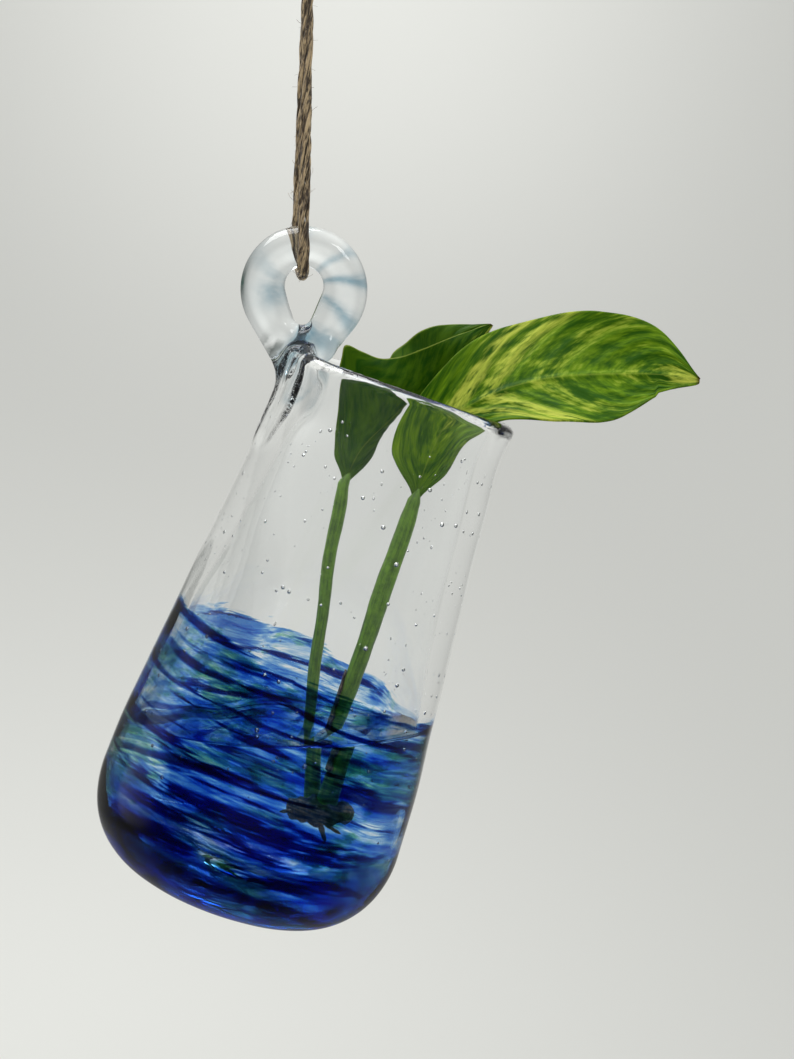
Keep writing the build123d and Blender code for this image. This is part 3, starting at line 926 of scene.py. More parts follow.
def swirl_material(look):
    material, tree = new_material("blue_swirl")
    place = vase_place(tree)
    trail, above = painted_parts(tree, "swirl")
    wisp = grain(tree, place, (0.035, 0.035, 0.32), 2.6)
    cloud = grain(tree, place, (0.035, 0.035, 0.10), 2.6)
    marble = wire(tree, "ShaderNodeTexNoise", {
        "Vector": wire(tree, "ShaderNodeMapping", {"Vector": place, "Scale": (0.035, 0.035, 0.40)}),
        "Scale": 1.0, "Detail": 2.0, "Distortion": 1.3,
    })
    thread = ranged(tree, math(tree, "ABSOLUTE", less(tree, marble, 0.5)), 0.0, 0.022, 1.0, 0.0)
    torn = times(tree, trail, ranged(tree, wisp, 0.25, 0.65, 0.2, 1.2))
    thick = times(tree, ranged(tree, torn, 0.22, 0.8), look.trail)
    veil = times(tree, ranged(tree, cloud, 0.25, 0.72, 2.7, 0.12), look.wash)
    across, _, up = add(tree, "ShaderNodeSeparateXYZ", {0: place}).outputs
    low = ranged(tree, up, 21.0, 3.0, 0.0, 1.25)
    strokes = 0.0
    for slant, stretch, level in ((-0.10, (0.045, 0.045, 0.75), 0.7), (0.15, (0.05, 0.05, 0.55), 0.6)):
        leaning = wire(tree, "ShaderNodeMapping", {"Vector": place, "Rotation": (0.0, slant, 0.0)})
        brushed = ranged(tree, grain(tree, leaning, stretch, 3.4), 0.52, 0.92, 0.0, level)
        strokes = plus(tree, strokes, brushed)
    lines = times(tree, thread, ranged(tree, cloud, 0.25, 0.6, 0.9, 0.25))
    density = plus(tree, plus(tree, thick, veil), plus(tree, lines, strokes))
    # Painted light: less colour towards the left and right, where the wall turns away in the front view, so
    # the sides show lighter
    painted_side_lightening = ranged(tree, math(tree, "ABSOLUTE", across), 21.0, 30.0, 1.0, 0.42)
    density = plus(tree, times(tree, density, painted_side_lightening), low)
    edge = plus(tree, above, times(tree, less(tree, wisp, 0.5), 0.3))
    kept = ranged(tree, edge, 0.56, 0.47)
    blue = absorbed(tree, times(tree, density, kept), look.blue)
    patch = grain(tree, place, (0.05, 0.05, 0.12), 3.0)
    greened = times(tree, ranged(tree, patch, 0.55, 0.8), times(tree, kept, painted_side_lightening))
    tint = mixed(tree, 1.0, blue, absorbed(tree, greened, look.green), blend="MULTIPLY")
    inked = absorbed(tree, times(tree, times(tree, thick, kept), painted_side_lightening), look.ink)
    tint = mixed(tree, 1.0, tint, inked, blend="MULTIPLY")
    # The colour lies inside the glass, so its own surface bends no light
    finish_clear(tree, tint, 1.0, tint)
    return material


class VASE_OT_swirl(bpy.types.Operator):
    """Lay the blue colour inside the lower half of the wall"""

    bl_idname = "vase.swirl"
    bl_label = "Blue swirl"

    def execute(self, context):
        look = context.scene.vase_swirl
        form = GlassForm(context.scene.vase_glass)
        turns, steps = 300, 116
        angle = np.linspace(0, 2 * pi, turns, endpoint=False)
        spill = 7 * MM
        shells = []
        for out in (look.depth, look.depth + look.thickness):
            shells.append(self.shell(form, look, angle, steps, out, spill))
        (inner, density), (outer, _) = shells
        count = len(inner)
        faces = two_sides(sheet_faces(steps, turns, closed=True), count)
        rim = (steps - 1) * turns
        for i in range(turns):
            j = (i + 1) % turns
            faces.append((rim + j, rim + i, count + rim + i, count + rim + j))
        for first in (0, count):
            ring = tuple(range(first, first + turns))
            faces.append(ring if first else ring[::-1])
        piece = mesh_object("blue_swirl", np.concatenate((inner, outer)), faces, swirl_material(look))
        paint(piece.data, "swirl", np.concatenate((density, density)))
        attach(piece, "vase")
        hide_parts("blue_lining")
        return {"FINISHED"}

    def shell(self, form, look, angle, steps, out, spill):
        """One side of the layer, from the floor's middle out and up, and how it is painted."""
        floor, flat, corner, swept, side_out = form.floor_round(out)
        centre = (flat, floor + corner)
        share = np.linspace(0, 1, steps)
        top = look.height + form.foot * tan(look.slant) * -np.cos(angle) + spill
        points, painted = [], []
        ring = ring_round(angle)
        front = (angle + pi / 2 + pi) % (2 * pi) - pi
        side_start = centre[1] + corner * sin(swept - pi / 2)
        for part in share:
            if part < 0.2:
                r = np.full_like(angle, flat * max(part / 0.2, 0.01))
                w = np.full_like(angle, floor)
            elif part < 0.45:
                a = swept * (part - 0.2) / 0.25 - pi / 2
                r = np.full_like(angle, centre[0] + corner * cos(a))
                w = np.full_like(angle, centre[1] + corner * sin(a))
            else:
                w = side_start + (top - side_start) * (part - 0.45) / 0.55
                r = form.cavity_radius(w) + side_out
            points.append(BASE + w[:, None] * ALONG + r[:, None] * ring)
            above = clamped((w - (top - spill)) / (2 * spill) + 0.5)
            density = trail_density(front, w)
            painted.append(np.stack((density, above, np.zeros_like(w), np.ones_like(w)), axis=-1))
        return np.concatenate(points), np.concatenate(painted)


# Water


def water_material(look):
    material, tree = new_material("water")
    ripple = wire(tree, "ShaderNodeTexNoise", {
        "Vector": coordinates(tree, "Object"), "Scale": 120.0, "Detail": 1.0,
    })
    tint = tuple(look.tint)
    finish_clear(tree, tint, WATER_IOR, tint, Normal=bump(tree, ripple, 0.05, 0.2 * MM))
    return material


class VASE_OT_water(bpy.types.Operator):
    """Fill the leaning vase with level water"""

    bl_idname = "vase.water"
    bl_label = "Water"

    def execute(self, context):
        look = context.scene.vase_water
        form = GlassForm(context.scene.vase_glass)
        turns, floor_steps, corner_steps, wall_steps, top_steps = 192, 8, 16, 24, 40
        angle = np.linspace(0, 2 * pi, turns, endpoint=False)
        ring = ring_round(angle)
        level = (BASE + ALONG * look.height)[2]
        floor, flat, corner, swept, side_out = form.floor_round(look.overlap)
        rows = []
        for part in np.linspace(0.02, 1, floor_steps):
            rows.append((np.full(turns, flat * part), np.full(turns, floor)))
        for a in np.linspace(0, swept, corner_steps)[1:] - pi / 2:
            r, w = flat + corner * cos(a), floor + corner + corner * sin(a)
            rows.append((np.full(turns, r), np.full(turns, w)))
        foot = form.cavity_foot + side_out
        start = rows[-1][1][0]
        fall = -ACROSS[2] * np.cos(angle)
        climbed = level + look.meniscus
        contact = (climbed - BASE[2] + foot * fall) / (ALONG[2] + form.cavity_slope * fall)
        for part in np.linspace(0, 1, wall_steps)[1:]:
            w = start + (contact - start) * part
            uneven = form.unevenness(angle, w) * part
            rows.append((foot - form.cavity_slope * w - uneven, w))
        points = [BASE + w[:, None] * ALONG + r[:, None] * ring for r, w in rows]
        edge = points[-1]
        middle = edge.mean(axis=0)
        spread = np.linalg.norm((edge - middle)[:, :2], axis=1)[:, None]
        for part in np.linspace(1, 0.02, top_steps)[1:] ** 1.6:
            row = middle + (edge - middle) * part
            climb = look.meniscus * np.exp(-spread * (1 - part) / (1.7 * MM))
            row[:, 2:] = level + climb
            points.append(row)
        rim = (floor_steps + corner_steps - 1 + wall_steps - 1 - 1) * turns
        faces = sheet_faces(len(points), turns, closed=True)
        last = (len(points) - 1) * turns
        faces.append(tuple(range(turns))[::-1])
        faces.append(tuple(range(last, last + turns)))
        piece = mesh_object("water", np.concatenate(points), faces, water_material(look))
        sharp = piece.data.attributes.new("sharp_edge", "BOOLEAN", "EDGE")
        on_rim = range(rim, rim + turns)
        for edge_line in piece.data.edges:
            if edge_line.vertices[0] in on_rim and edge_line.vertices[1] in on_rim:
                sharp.data[edge_line.index].value = True
        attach(piece, "vase")
        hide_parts("water_fill")
        return {"FINISHED"}


# Twine

# The twine's routes in mm, from one end at the knot round to the other
STRAND_SPREAD = 1.7
LEGS_TOP = -37.4
LEGS_EASE = -86.0
BIGHT_RADIUS = 6.1
BIGHT_MIDDLE = -102.3
HANG_END = -29.5
HOOK_MIDDLE = -5.0
HOOK_RADIUS = 6.4
KNOT_TURNS = 3.0
KNOT_TOP = -29.6
KNOT_BOTTOM = -36.8
KNOT_RADIUS = 2.85
TAIL_LENGTH = 4.6
# Across, behind and height: the leg behind the loop hangs a little aside
LEGS_ROUTE = (
    (0.0, -STRAND_SPREAD, LEGS_TOP), (0.0, -5.0, LEGS_EASE), (0.0, -BIGHT_RADIUS, BIGHT_MIDDLE - 1.0),
    (0.0, -BIGHT_RADIUS + 0.6, BIGHT_MIDDLE - BIGHT_RADIUS),
    (-0.8, BIGHT_RADIUS - 0.6, BIGHT_MIDDLE - BIGHT_RADIUS),
    (-2.2, BIGHT_RADIUS, BIGHT_MIDDLE - 1.0), (-1.6, 5.0, LEGS_EASE), (0.0, STRAND_SPREAD, LEGS_TOP),
)
HANG_ROUTE = (
    (-STRAND_SPREAD, HANG_END), (-5.6, HOOK_MIDDLE - 6.0), (-HOOK_RADIUS, HOOK_MIDDLE),
    (-HOOK_RADIUS + 0.6, HOOK_MIDDLE + HOOK_RADIUS), (HOOK_RADIUS - 0.6, HOOK_MIDDLE + HOOK_RADIUS),
    (HOOK_RADIUS, HOOK_MIDDLE), (5.6, HOOK_MIDDLE - 6.0), (STRAND_SPREAD, HANG_END),
)


def route_points(name, route):
    """Points along the smooth spline that a route controls."""
    curve = bpy.data.curves.new(name, "CURVE")
    curve.dimensions = "3D"
    spline = curve.splines.new("NURBS")
    spline.points.add(len(route) - 1)
    for point, place in zip(spline.points, route):
        point.co = (*place, 1.0)
    spline.order_u = 3
    spline.use_endpoint_u = True
    spline.resolution_u = 24
    holder = bpy.data.objects.new(name, curve)
    bpy.context.scene.collection.objects.link(holder)
    points = np.array([vertex.co for vertex in plain_mesh(holder).vertices])
    bpy.data.objects.remove(holder)
    return points


def even_steps(points, step):
    """The same line with points a step apart."""
    run = run_along(points)
    places = np.linspace(0, run[-1], max(int(run[-1] / step), 8))
    return np.stack([np.interp(places, run, points[:, k]) for k in range(3)], axis=1)


def laid_twine(path, look):
    """A loose bundle of strands twisted along a path, each wandering in and out of it."""
    path = even_steps(np.asarray(path), 0.6 * MM)
    _, side, up = frames_along(path)
    run = run_along(path)
    dice = np.random.default_rng(look.fibre_seed)
    thin = look.diameter * 0.14
    reach = look.diameter / 2 - thin
    parts = []
    for strand in range(look.strands):
        start = dice.uniform(0, 2 * pi)
        beat = dice.uniform(5, 9) * MM
        length_on = dice.uniform(1.6, 3.2) * MM
        phase = 2 * pi * strand / look.strands
        angle = phase + 2 * pi * run / look.lay + 0.22 * np.sin(run / beat + start)
        out = reach * (0.96 + 0.12 * np.sin(run / beat + 2 * start))
        line = path + (np.cos(angle)[:, None] * side + np.sin(angle)[:, None] * up) * out[:, None]
        waver = 1 + 0.22 * np.sin(run / length_on + start) + 0.10 * np.sin(run / (0.9 * MM) + 3 * start)
        points, faces, uv = tube(line, thin * waver, 7)
        parts.append((points, faces, uv + (7.3 * strand, 0.0)))
    return joined(parts)


def fibre_tree():
    """Loose fibres on a twine: thin bent hairs scattered over its surface."""
    tree, start, scatter = scatter_group("vase_fibres", "Length", "Thickness")
    line = wire(tree, "GeometryNodeCurveQuadraticBezier", {
        "Resolution": 5, "Start": (0.0, 0.0, -0.05), "Middle": (0.25, 0.1, 0.45), "End": (0.9, 0.0, 0.55),
    })
    circle = wire(tree, "GeometryNodeCurvePrimitiveCircle", {"Resolution": 3, "Radius": 1.0})
    thin = math(tree, "DIVIDE", start["Thickness"], start["Length"])
    scale = wire(tree, "ShaderNodeCombineXYZ", {0: thin, 1: thin, 2: 1.0})
    ring = wire(tree, "GeometryNodeTransform", {"Geometry": circle, "Scale": scale})
    hair = wire(tree, "GeometryNodeCurveToMesh", {"Curve": line, "Profile Curve": ring, "Fill Caps": True})
    spin = random_way(tree, start, (0.0,) * 3, (0.5, 0.5, 6.3))
    sockets = {"Rotation": scatter["Rotation"], "Rotate By": spin}
    turned = wire(tree, "FunctionNodeRotateEuler", sockets, space="LOCAL")
    size = random_size(tree, start, 0.35, 2.0, "Length")
    sockets = {"Points": scatter["Points"], "Instance": hair, "Rotation": turned, "Scale": size}
    return end_scatter(tree, start, sockets)


def jute_material(look):
    if "jute_fibre" in bpy.data.materials:
        return bpy.data.materials["jute_fibre"]
    material, tree = new_material("jute_fibre")
    place = coordinates(tree, "UV")
    strands = grain(tree, place, (2.2, 170.0, 1.0), 2.8)
    blotch = grain(tree, coordinates(tree, "Object"), (420.0, 420.0, 260.0), 2.0)
    shade = weighed(tree, (strands, 0.65), (blotch, 0.35))
    # The dark end is painted shade in the grooves between fibres as well as darker fibres
    tint = mixed(tree, ranged(tree, shade, 0.36, 0.68), tuple(look.dark_fibres_and_painted_shade), tuple(look.straw))
    finish_surface(tree, {
        "Base Color": tint, "Roughness": 0.85, "Sheen Weight": 0.25, "Sheen Roughness": 0.5,
        "Normal": bump(tree, strands, 0.6, 0.25 * MM),
    })
    return material


def twine_piece(name, path, look, body, node):
    """A laid twine along a path, with loose fibres, in place of a node."""
    points, faces, uv = laid_twine(path, look)
    material = jute_material(look)
    bare = mesh_object(name + "_bare", points, faces, material)
    tree = bpy.data.node_groups.get("vase_fibres") or fibre_tree()
    mesh = run_tree(bare, tree, {
        "Count": look.fibre_count, "Seed": look.fibre_seed, "Length": 2.5 * MM, "Thickness": 0.045 * MM,
        "Material": material,
    })
    hairs, hair_faces = mesh_arrays(mesh)
    bpy.data.objects.remove(bare)
    points, faces, uv = joined([(points, faces, uv), (hairs, hair_faces, np.full((len(hairs), 2), 0.3))])
    piece = mesh_object(name, points, faces, material)
    lay_uv(piece.data, uv)
    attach(piece, body)
    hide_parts(node)
    return piece


class VASE_OT_twine(bpy.types.Operator):
    """Lay the twine through the eye, tie it and loop it for a hook"""

    bl_idname = "vase.twine"
    bl_label = "Twine"

    def execute(self, context):
        look = context.scene.vase_twine
        legs = route_points("legs_route", np.array(LEGS_ROUTE) * MM)
        hang = route_points("hang_route", [(a * MM, 0.0, b * MM) for a, b in HANG_ROUTE])
        legs_piece = twine_piece("twine_legs_laid", legs, look, "twine", "twine_legs")
        hang_piece = twine_piece("twine_hang_loop_laid", hang, look, "hanger", "twine_hang_loop")
        knot_piece = twine_piece("twine_knot_tied", self.knot_path(), look, "hanger", "twine_knot")
        return {"FINISHED"}

    def knot_path(self):
        """Turns wound round the strands, with a tail at each end."""
        wind = np.linspace(0, 1, 120)
        angle = 2 * pi * KNOT_TURNS * wind
        height = KNOT_TOP + (KNOT_BOTTOM - KNOT_TOP) * wind
        coil = np.stack((KNOT_RADIUS * np.cos(angle), KNOT_RADIUS * np.sin(angle), height), axis=1) * MM
        reach = np.linspace(0, 1, 16)[1:, None] * TAIL_LENGTH * MM
        first = coil[0] + reach * np.array((0.35, -0.9, 0.25))
        last = coil[-1] + reach * np.array((0.3, 0.95, -0.2))
        return np.concatenate((first[::-1], coil, last))


# Cutting

# Across, behind and along the vase in mm: the node, and below it each stalk's foot, bend and end
NODE_AT = (11.5, 0.0, 28.0)
# Glass and water widen the stalks to the eye: the share of their diameter that gives the width they show
SMALL_SHARE = 0.92
LARGE_SHARE = 0.72
SMALL_STALK = ((9.8, 1.6, 29.5), (0.5, 4.4, RIM - 60.0), (-6.0, 6.2, RIM - 26.9))
LARGE_STALK = ((12.4, -0.8, 29.5), (11.8, -2.6, RIM - 60.0), (11.1, -2.4, RIM - 24.3))
# Each rootlet's bend and end, from the node in mm
ROOTS = (
    ((-2.5, 2.0, -3.2), (-5.4, 2.5, -4.4)),
    ((1.6, -2.5, -3.0), (3.4, -4.0, -5.8)),
    ((2.2, 2.2, -3.2), (4.6, 3.6, -4.6)),
    ((-4.4, -1.6, -1.6), (-7.2, -2.2, -3.0)),
)
# A leaf's stations in mm: a point of the midrib, then how far its left and its right margin lie to the left
# and to the back from there
LARGE_LEAF = (
    (LARGE_STALK[2], (2.0, -0.6), (-2.0, -0.6)),
    ((11.0, -2.6, RIM - 14.0), (9.1, -0.8), (-5.3, -2.1)),
    ((13.0, -2.8, RIM - 3.5), (9.4, 0.15), (-5.7, -3.05)),
    ((19.5, -2.0, RIM + 4.65), (12.85, 4.6), (-5.1, -6.1)),
    ((31.0, -0.4, RIM + 13.0), (14.4, 7.4), (-10.1, -9.6)),
    ((43.5, 0.6, RIM + 18.6), (14.7, 6.6), (-9.65, -8.6)),
    ((55.5, 0.5, RIM + 22.9), (10.5, 3.4), (-4.6, -3.4)),
    ((64.7, 0.0, RIM + 24.9), (0.6, -0.15), (-0.6, -0.15)),
)
SMALL_LEAF = (
    (SMALL_STALK[2], (1.5, 0.4), (-1.5, 0.4)),
    ((-4.8, 6.6, RIM - 15.5), (9.0, 1.5), (-1.5, 4.5)),
    ((-0.3, 7.3, RIM - 7.8), (18.4, -0.4), (4.4, 7.7)),
    ((0.2, 7.4, RIM - 7.0), (20.0, -0.6), (5.0, 8.0)),
    ((0.9, 7.5, RIM - 6.0), (17.0, -0.7), (6.1, 8.2)),
    ((2.4, 7.7, RIM - 4.0), (13.4, -0.9), (8.3, 8.5)),
    ((4.4, 8.0, RIM - 1.2), (11.2, -1.0), (11.5, 9.0)),
    ((8.4, 8.7, RIM + 4.6), (9.0, -1.6), (12.2, 9.0)),
    ((12.0, 9.2, RIM + 12.6), (5.5, -1.6), (9.8, 6.0)),
    ((14.9, 9.8, RIM + 20.6), (0.5, -0.4), (0.5, 0.5)),
)
# Where the pale streaks crowd: place along the leaf's veins, share that is pale
LARGE_ZONES = (
    (0.0, 0.30), (1.0, 0.25), (0.12, 0.25), (0.21, 0.45), (0.28, 0.95), (0.33, 0.50),
    (0.40, 0.85), (0.45, 0.42), (0.57, 0.62), (0.66, 0.35), (0.8, 0.48),
)
SMALL_ZONES = ((0.0, 0.10), (1.0, 0.30), (0.2, 0.0), (0.45, 0.0), (0.6, 0.1), (0.75, 0.35))
# The leaves' dry tip, their underside and the colour of light that comes through
TIP_BROWN = (0.08, 0.04, 0.015, 1.0)
UNDERSIDE_GREEN = (0.10, 0.20, 0.02, 1.0)
LIGHT_THROUGH_LEAF = (1.0, 0.9, 0.35, 1.0)


def leaf_lines(stations, stalk_way):
    """The midrib and both margins of a leaf, at its stations."""
    midrib = np.array([at(*station[0]) for station in stations])
    left, right = [], []
    last = len(stations) - 1
    for i, (_, to_left, to_right) in enumerate(stations):
        way = unit(midrib[min(i + 1, last)] - midrib[max(i - 1, 0)]) if i else stalk_way
        leftward = unit(np.cross(way, BEHIND))
        backward = np.cross(way, leftward)
        backward = backward * np.sign(backward @ BEHIND)
        left.append(midrib[i] + (leftward * to_left[0] + backward * to_left[1]) * MM)
        right.append(midrib[i] + (leftward * to_right[0] + backward * to_right[1]) * MM)
    return midrib, np.array(left), np.array(right)


def leaf_surface(stations, stalk_way, rows, columns, nick):
    """A blade's grid of points, with rib, veins and a wavy margin, and its places along and across."""
    midrib, left, right = leaf_lines(stations, stalk_way)
    knots = run_along(midrib)
    knots = knots / knots[-1]
    s = np.linspace(0, 1, rows)
    m, l, r = (smooth_through(knots, line, s) for line in (midrib, left, right))
    t = np.linspace(-1, 1, columns)
    rise = clamped(s / 0.11)
    narrow = 0.22 + 0.78 * rise**2 * (3 - 2 * rise)
    bitten = 1 - 0.26 * clamped((s - nick) / 0.008) * clamped((nick + 0.10 - s) / 0.09)
    span = t[None, :, None] * np.where(t > 0, bitten[:, None], 1.0)[..., None] * narrow[:, None, None]
    points = m[:, None] + span * (r - l)[:, None] / 2 + span**2 * ((r + l) / 2 - m)[:, None]
    down = np.gradient(points, axis=0)
    along = np.gradient(points, axis=1)
    normal = unit(np.cross(down, along))
    away = np.linalg.norm(points - m[:, None], axis=-1)
    groove = -0.35 * MM * bell(away / (0.8 * MM))
    vein_line = 13 * (s[:, None] - 0.10 * np.abs(t) - 0.16 * t**2)
    puffed = np.abs(np.sin(pi * vein_line)) - 0.6
    veins = 0.34 * MM * puffed * clamped(away / (4 * MM)) * (1 - t**6)
    wave = 0.8 * MM * np.sin(2 * pi * (2.7 * s[:, None] + 0.2 * np.sign(t)[None, :])) * t[None, :] ** 4
    ease = clamped(s / 0.12)[:, None] * clamped((1 - s) / 0.06)[:, None]
    points = points + normal * ((groove + veins + wave) * ease)[..., None]
    place = np.stack(np.broadcast_arrays(s[:, None], (t[None, :] + 1) / 2), axis=-1)
    return points.reshape(-1, 3), place.reshape(-1, 2)


def leaf_material(look, name, pale, zones, shade, margin):
    """Green with pale streaks along the side veins, crowded in zones."""
    material, tree = new_material(name)
    place = coordinates(tree, "UV")
    along, across, _ = add(tree, "ShaderNodeSeparateXYZ", {0: place}).outputs
    side = math(tree, "ABSOLUTE", less(tree, across, 0.5))
    bent = weighed(tree, (side, 0.2), (times(tree, side, side), 0.64))
    forward = less(tree, along, bent)
    along_vein = wire(tree, "ShaderNodeCombineXYZ", {0: forward, 1: across, 2: 0.0})
    feather = grain(tree, along_vein, (28.0, 5.5, 1.0), 2.3)
    patch = grain(tree, along_vein, (9.0, 5.0, 1.0), 2.6)
    fleck = grain(tree, along_vein, (110.0, 16.0, 1.0), 2.2)
    wander = times(tree, less(tree, patch, 0.5), 0.10)
    ramp = add(tree, "ShaderNodeValToRGB", {0: plus(tree, forward, wander)})
    stops = ramp.color_ramp.elements
    for (spot, share), stop in zip(zones, [*stops, *(stops.new(spot) for spot, _ in zones[2:])]):
        stop.position = spot
        stop.color = (share, share, share, 1.0)
    flecked, patched = (less(tree, value, 0.5) for value in (fleck, patch))
    crowd = weighed(tree, (ramp.outputs[0], 0.7), (feather, 0.42), (flecked, 0.16), (patched, 0.48))
    blotched = weighed(tree, (patch, 0.6), (feather, 0.4))
    green = mixed(tree, ranged(tree, blotched, 0.28, 0.72), tuple(look.deep_green), tuple(look.mid_green))
    # Painted shade: shade mixes the leaf toward the painted shade green, a darker copy of the same material
    plain = mixed(tree, shade, green, tuple(look.painted_shade_green))
    lit = mixed(tree, ranged(tree, crowd, 0.54, 1.03), plain, tuple(look.lime))
    ribbed = mixed(tree, ranged(tree, side, 0.0, 0.012, 0.16, 0.0), lit, tuple(look.lime))
    edged = mixed(tree, ranged(tree, side, 0.490, 0.499, 0.0, margin), ribbed, tuple(look.lime))
    tipped = mixed(tree, ranged(tree, along, 0.985, 1.0, 0.0, 0.8), edged, TIP_BROWN)
    tint = mixed(tree, ranged(tree, along, 0.01, 0.10, 0.9, 0.0), tipped, tuple(look.stalk))
    faded = mixed(tree, pale, tint, UNDERSIDE_GREEN)
    relief = plus(tree, feather, times(tree, fleck, 0.5))
    surface = wire(tree, "ShaderNodeBsdfPrincipled", {
        "Base Color": faded, "Roughness": 0.42, "Specular IOR Level": 0.10,
        "Normal": bump(tree, relief, 0.22, 0.25 * MM),
    })
    through = mixed(tree, 1.0, faded, LIGHT_THROUGH_LEAF, blend="MULTIPLY")
    glow = wire(tree, "ShaderNodeBsdfTranslucent", {"Color": through})
    both = wire(tree, "ShaderNodeMixShader", {0: look.translucency, 1: surface, 2: glow})
    finish_material(tree, both)
    return material


def stalk_material(look):
    material, tree = new_material("petiole")
    place = coordinates(tree, "UV")
    fibre = grain(tree, place, (16.0, 40.0, 1.0), 2.2)
    spot = grain(tree, coordinates(tree, "Object"), (700.0, 700.0, 420.0), 2.4)
    pale = (look.stalk[0] * 1.9, look.stalk[1] * 1.7, look.stalk[2] * 1.6, 1.0)
    dark = (look.stalk[0] * 0.45, look.stalk[1] * 0.5, look.stalk[2] * 0.5, 1.0)
    shade = weighed(tree, (fibre, 0.6), (spot, 0.4))
    tint = mixed(tree, ranged(tree, shade, 0.2, 0.8), dark, pale)
    raised = bump(tree, fibre, 0.3, 0.2 * MM)
    finish_surface(tree, {"Base Color": tint, "Roughness": 0.4, "Normal": raised})
    return material


def bark_material(look):
    material, tree = new_material("bark")
    place = coordinates(tree, "Object")
    rough = grain(tree, place, (900.0, 900.0, 500.0), 2.6)
    pale = (look.bark[0] * 5, look.bark[1] * 5, look.bark[2] * 4, 1.0)
    tint = mixed(tree, ranged(tree, rough, 0.35, 0.85), tuple(look.bark), pale)
    raised = bump(tree, rough, 0.8, 0.4 * MM)
    finish_surface(tree, {"Base Color": tint, "Roughness": 0.6, "Normal": raised})
    return material


def stalk_path(points, count):
    return arc_through(*(at(*point) for point in points), count)


class VASE_OT_stems(bpy.types.Operator):
    """Grow the petioles, the sheath, the node and its rootlets"""

    bl_idname = "vase.stems"
    bl_label = "Stems"

    def execute(self, context):
        look = context.scene.vase_cutting
        green, bark = stalk_material(look), bark_material(look)
        self.petiole("petiole_small", SMALL_STALK, SMALL_LEAF, SMALL_SHARE * look.small_petiole, green)
        self.petiole("petiole_large", LARGE_STALK, LARGE_LEAF, LARGE_SHARE * look.large_petiole, green)
        self.sheath(look, bark)
        self.node(bark)
        self.rootlets(bark)
        return {"FINISHED"}

    def keep(self, name, parts, material, node, slot):
        points, faces, uv = parts
        piece = mesh_object(name, points, faces, material)
        lay_uv(piece.data, uv)
        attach(piece, "cutting")
        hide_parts(node)

    def petiole(self, node, stalk, leaf, diameter, material):
        """A stalk that thins out into the leaf's rib."""
        rib = np.array([at(*station[0]) for station in leaf[:2]])
        into_leaf = rib[0] + (rib[1] - rib[0]) * np.linspace(0, 0.4, 12)[1:, None]
        path = np.concatenate((stalk_path(stalk, 90), into_leaf))
        share = np.linspace(0, 1, 90)
        swell = 1.0 - 0.2 * bell((share - 1) / 0.06) + 0.2 * bell(share / 0.08)
        lumps = 1 + 0.03 * np.sin(share * 21) + 0.015 * np.sin(share * 67 + 1)
        radii = np.concatenate((swell * lumps, np.linspace(0.78, 0.1, 11)))
        self.keep(node + "_grown", tube(path, diameter / 2 * radii, 20), material, node, "petiole")

    def sheath(self, look, material):
        """A dry curled strip along one side of the large petiole."""
        path = stalk_path(LARGE_STALK, 140)
        run = run_along(path)
        path = path[(run > 9 * MM) & (run < 33 * MM)]
        way, _, _ = frames_along(path)
        out = unit(-ACROSS - way * (way @ -ACROSS)[:, None])
        front = np.cross(out, way)
        share = np.linspace(0, 1, len(path))
        half = radians(62) * (1 - 0.75 * share**3) * (1 + 0.10 * np.sin(share * 40))
        spread = np.linspace(-1, 1, 13)
        angle = half[:, None] * spread[None, :]
        layers = []
        for lift in (0.06, 0.50):
            curl = 0.12 * MM * np.abs(spread)[None, :] ** 3
            lifted = LARGE_SHARE / 2 * look.large_petiole + lift * MM + curl
            ring = np.cos(angle)[..., None] * out[:, None] + np.sin(angle)[..., None] * front[:, None]
            points = path[:, None] + ring * np.broadcast_to(lifted, angle.shape)[..., None]
            layers.append(points.reshape(-1, 3))
        rows, columns = angle.shape
        count = rows * columns
        faces = two_sides(sheet_faces(rows, columns), count)
        border = list(range(columns))
        border += [(row + 1) * columns - 1 for row in range(1, rows)]
        border += [rows * columns - 1 - i for i in range(1, columns)]
        border += [row * columns for row in range(rows - 2, 0, -1)]
        for a, b in zip(border, border[1:] + border[:1]):
            faces.append((a, b, b + count, a + count))
        parts = (np.concatenate(layers), faces, np.zeros((2 * count, 2)))
        self.keep("petiole_sheath_dry", parts, material, "petiole_sheath", "bark")

    def node(self, material):
        """The short swollen stem, rough and torn at its ends."""
        middle = at(*NODE_AT)
        share = np.linspace(0, 1, 60)
        path = middle + np.stack(((share - 0.5) * 13 * MM, 0.3 * MM * np.sin(share * 9), 0 * share), axis=1)
        swell = 2.75 + 1.0 * bell((share - 0.5) / 0.16) + 0.25 * np.sin(share * 31)
        ends = np.sqrt(np.clip(1 - np.abs(2 * share - 1) ** 8, 0.05, 1))
        points, faces, uv = tube(path, swell * ends * MM, 36)
        rough = np.sin(points[:, 1] * 5200 + points[:, 0] * 1900) * np.sin(points[:, 2] * 4100)
        points = points + unit(points - middle) * (rough * 0.16 * MM)[:, None]
        self.keep("stem_node_rough", (points, faces, uv), material, "stem_node", "bark")

    def rootlets(self, material):
        parts = []
        for bend, end in ROOTS:
            path = stalk_path((NODE_AT, np.add(NODE_AT, bend), np.add(NODE_AT, end)), 40)
            share = np.linspace(0, 1, 40)
            lumps = 1 + 0.12 * np.sin(share * 23)
            radius = 0.62 * MM * (1 - 0.35 * share) * lumps * np.sqrt(1.02 - share**10)
            parts.append(tube(path, radius, 12))
        self.keep("rootlets_grown", joined(parts), material, "rootlets", "bark")


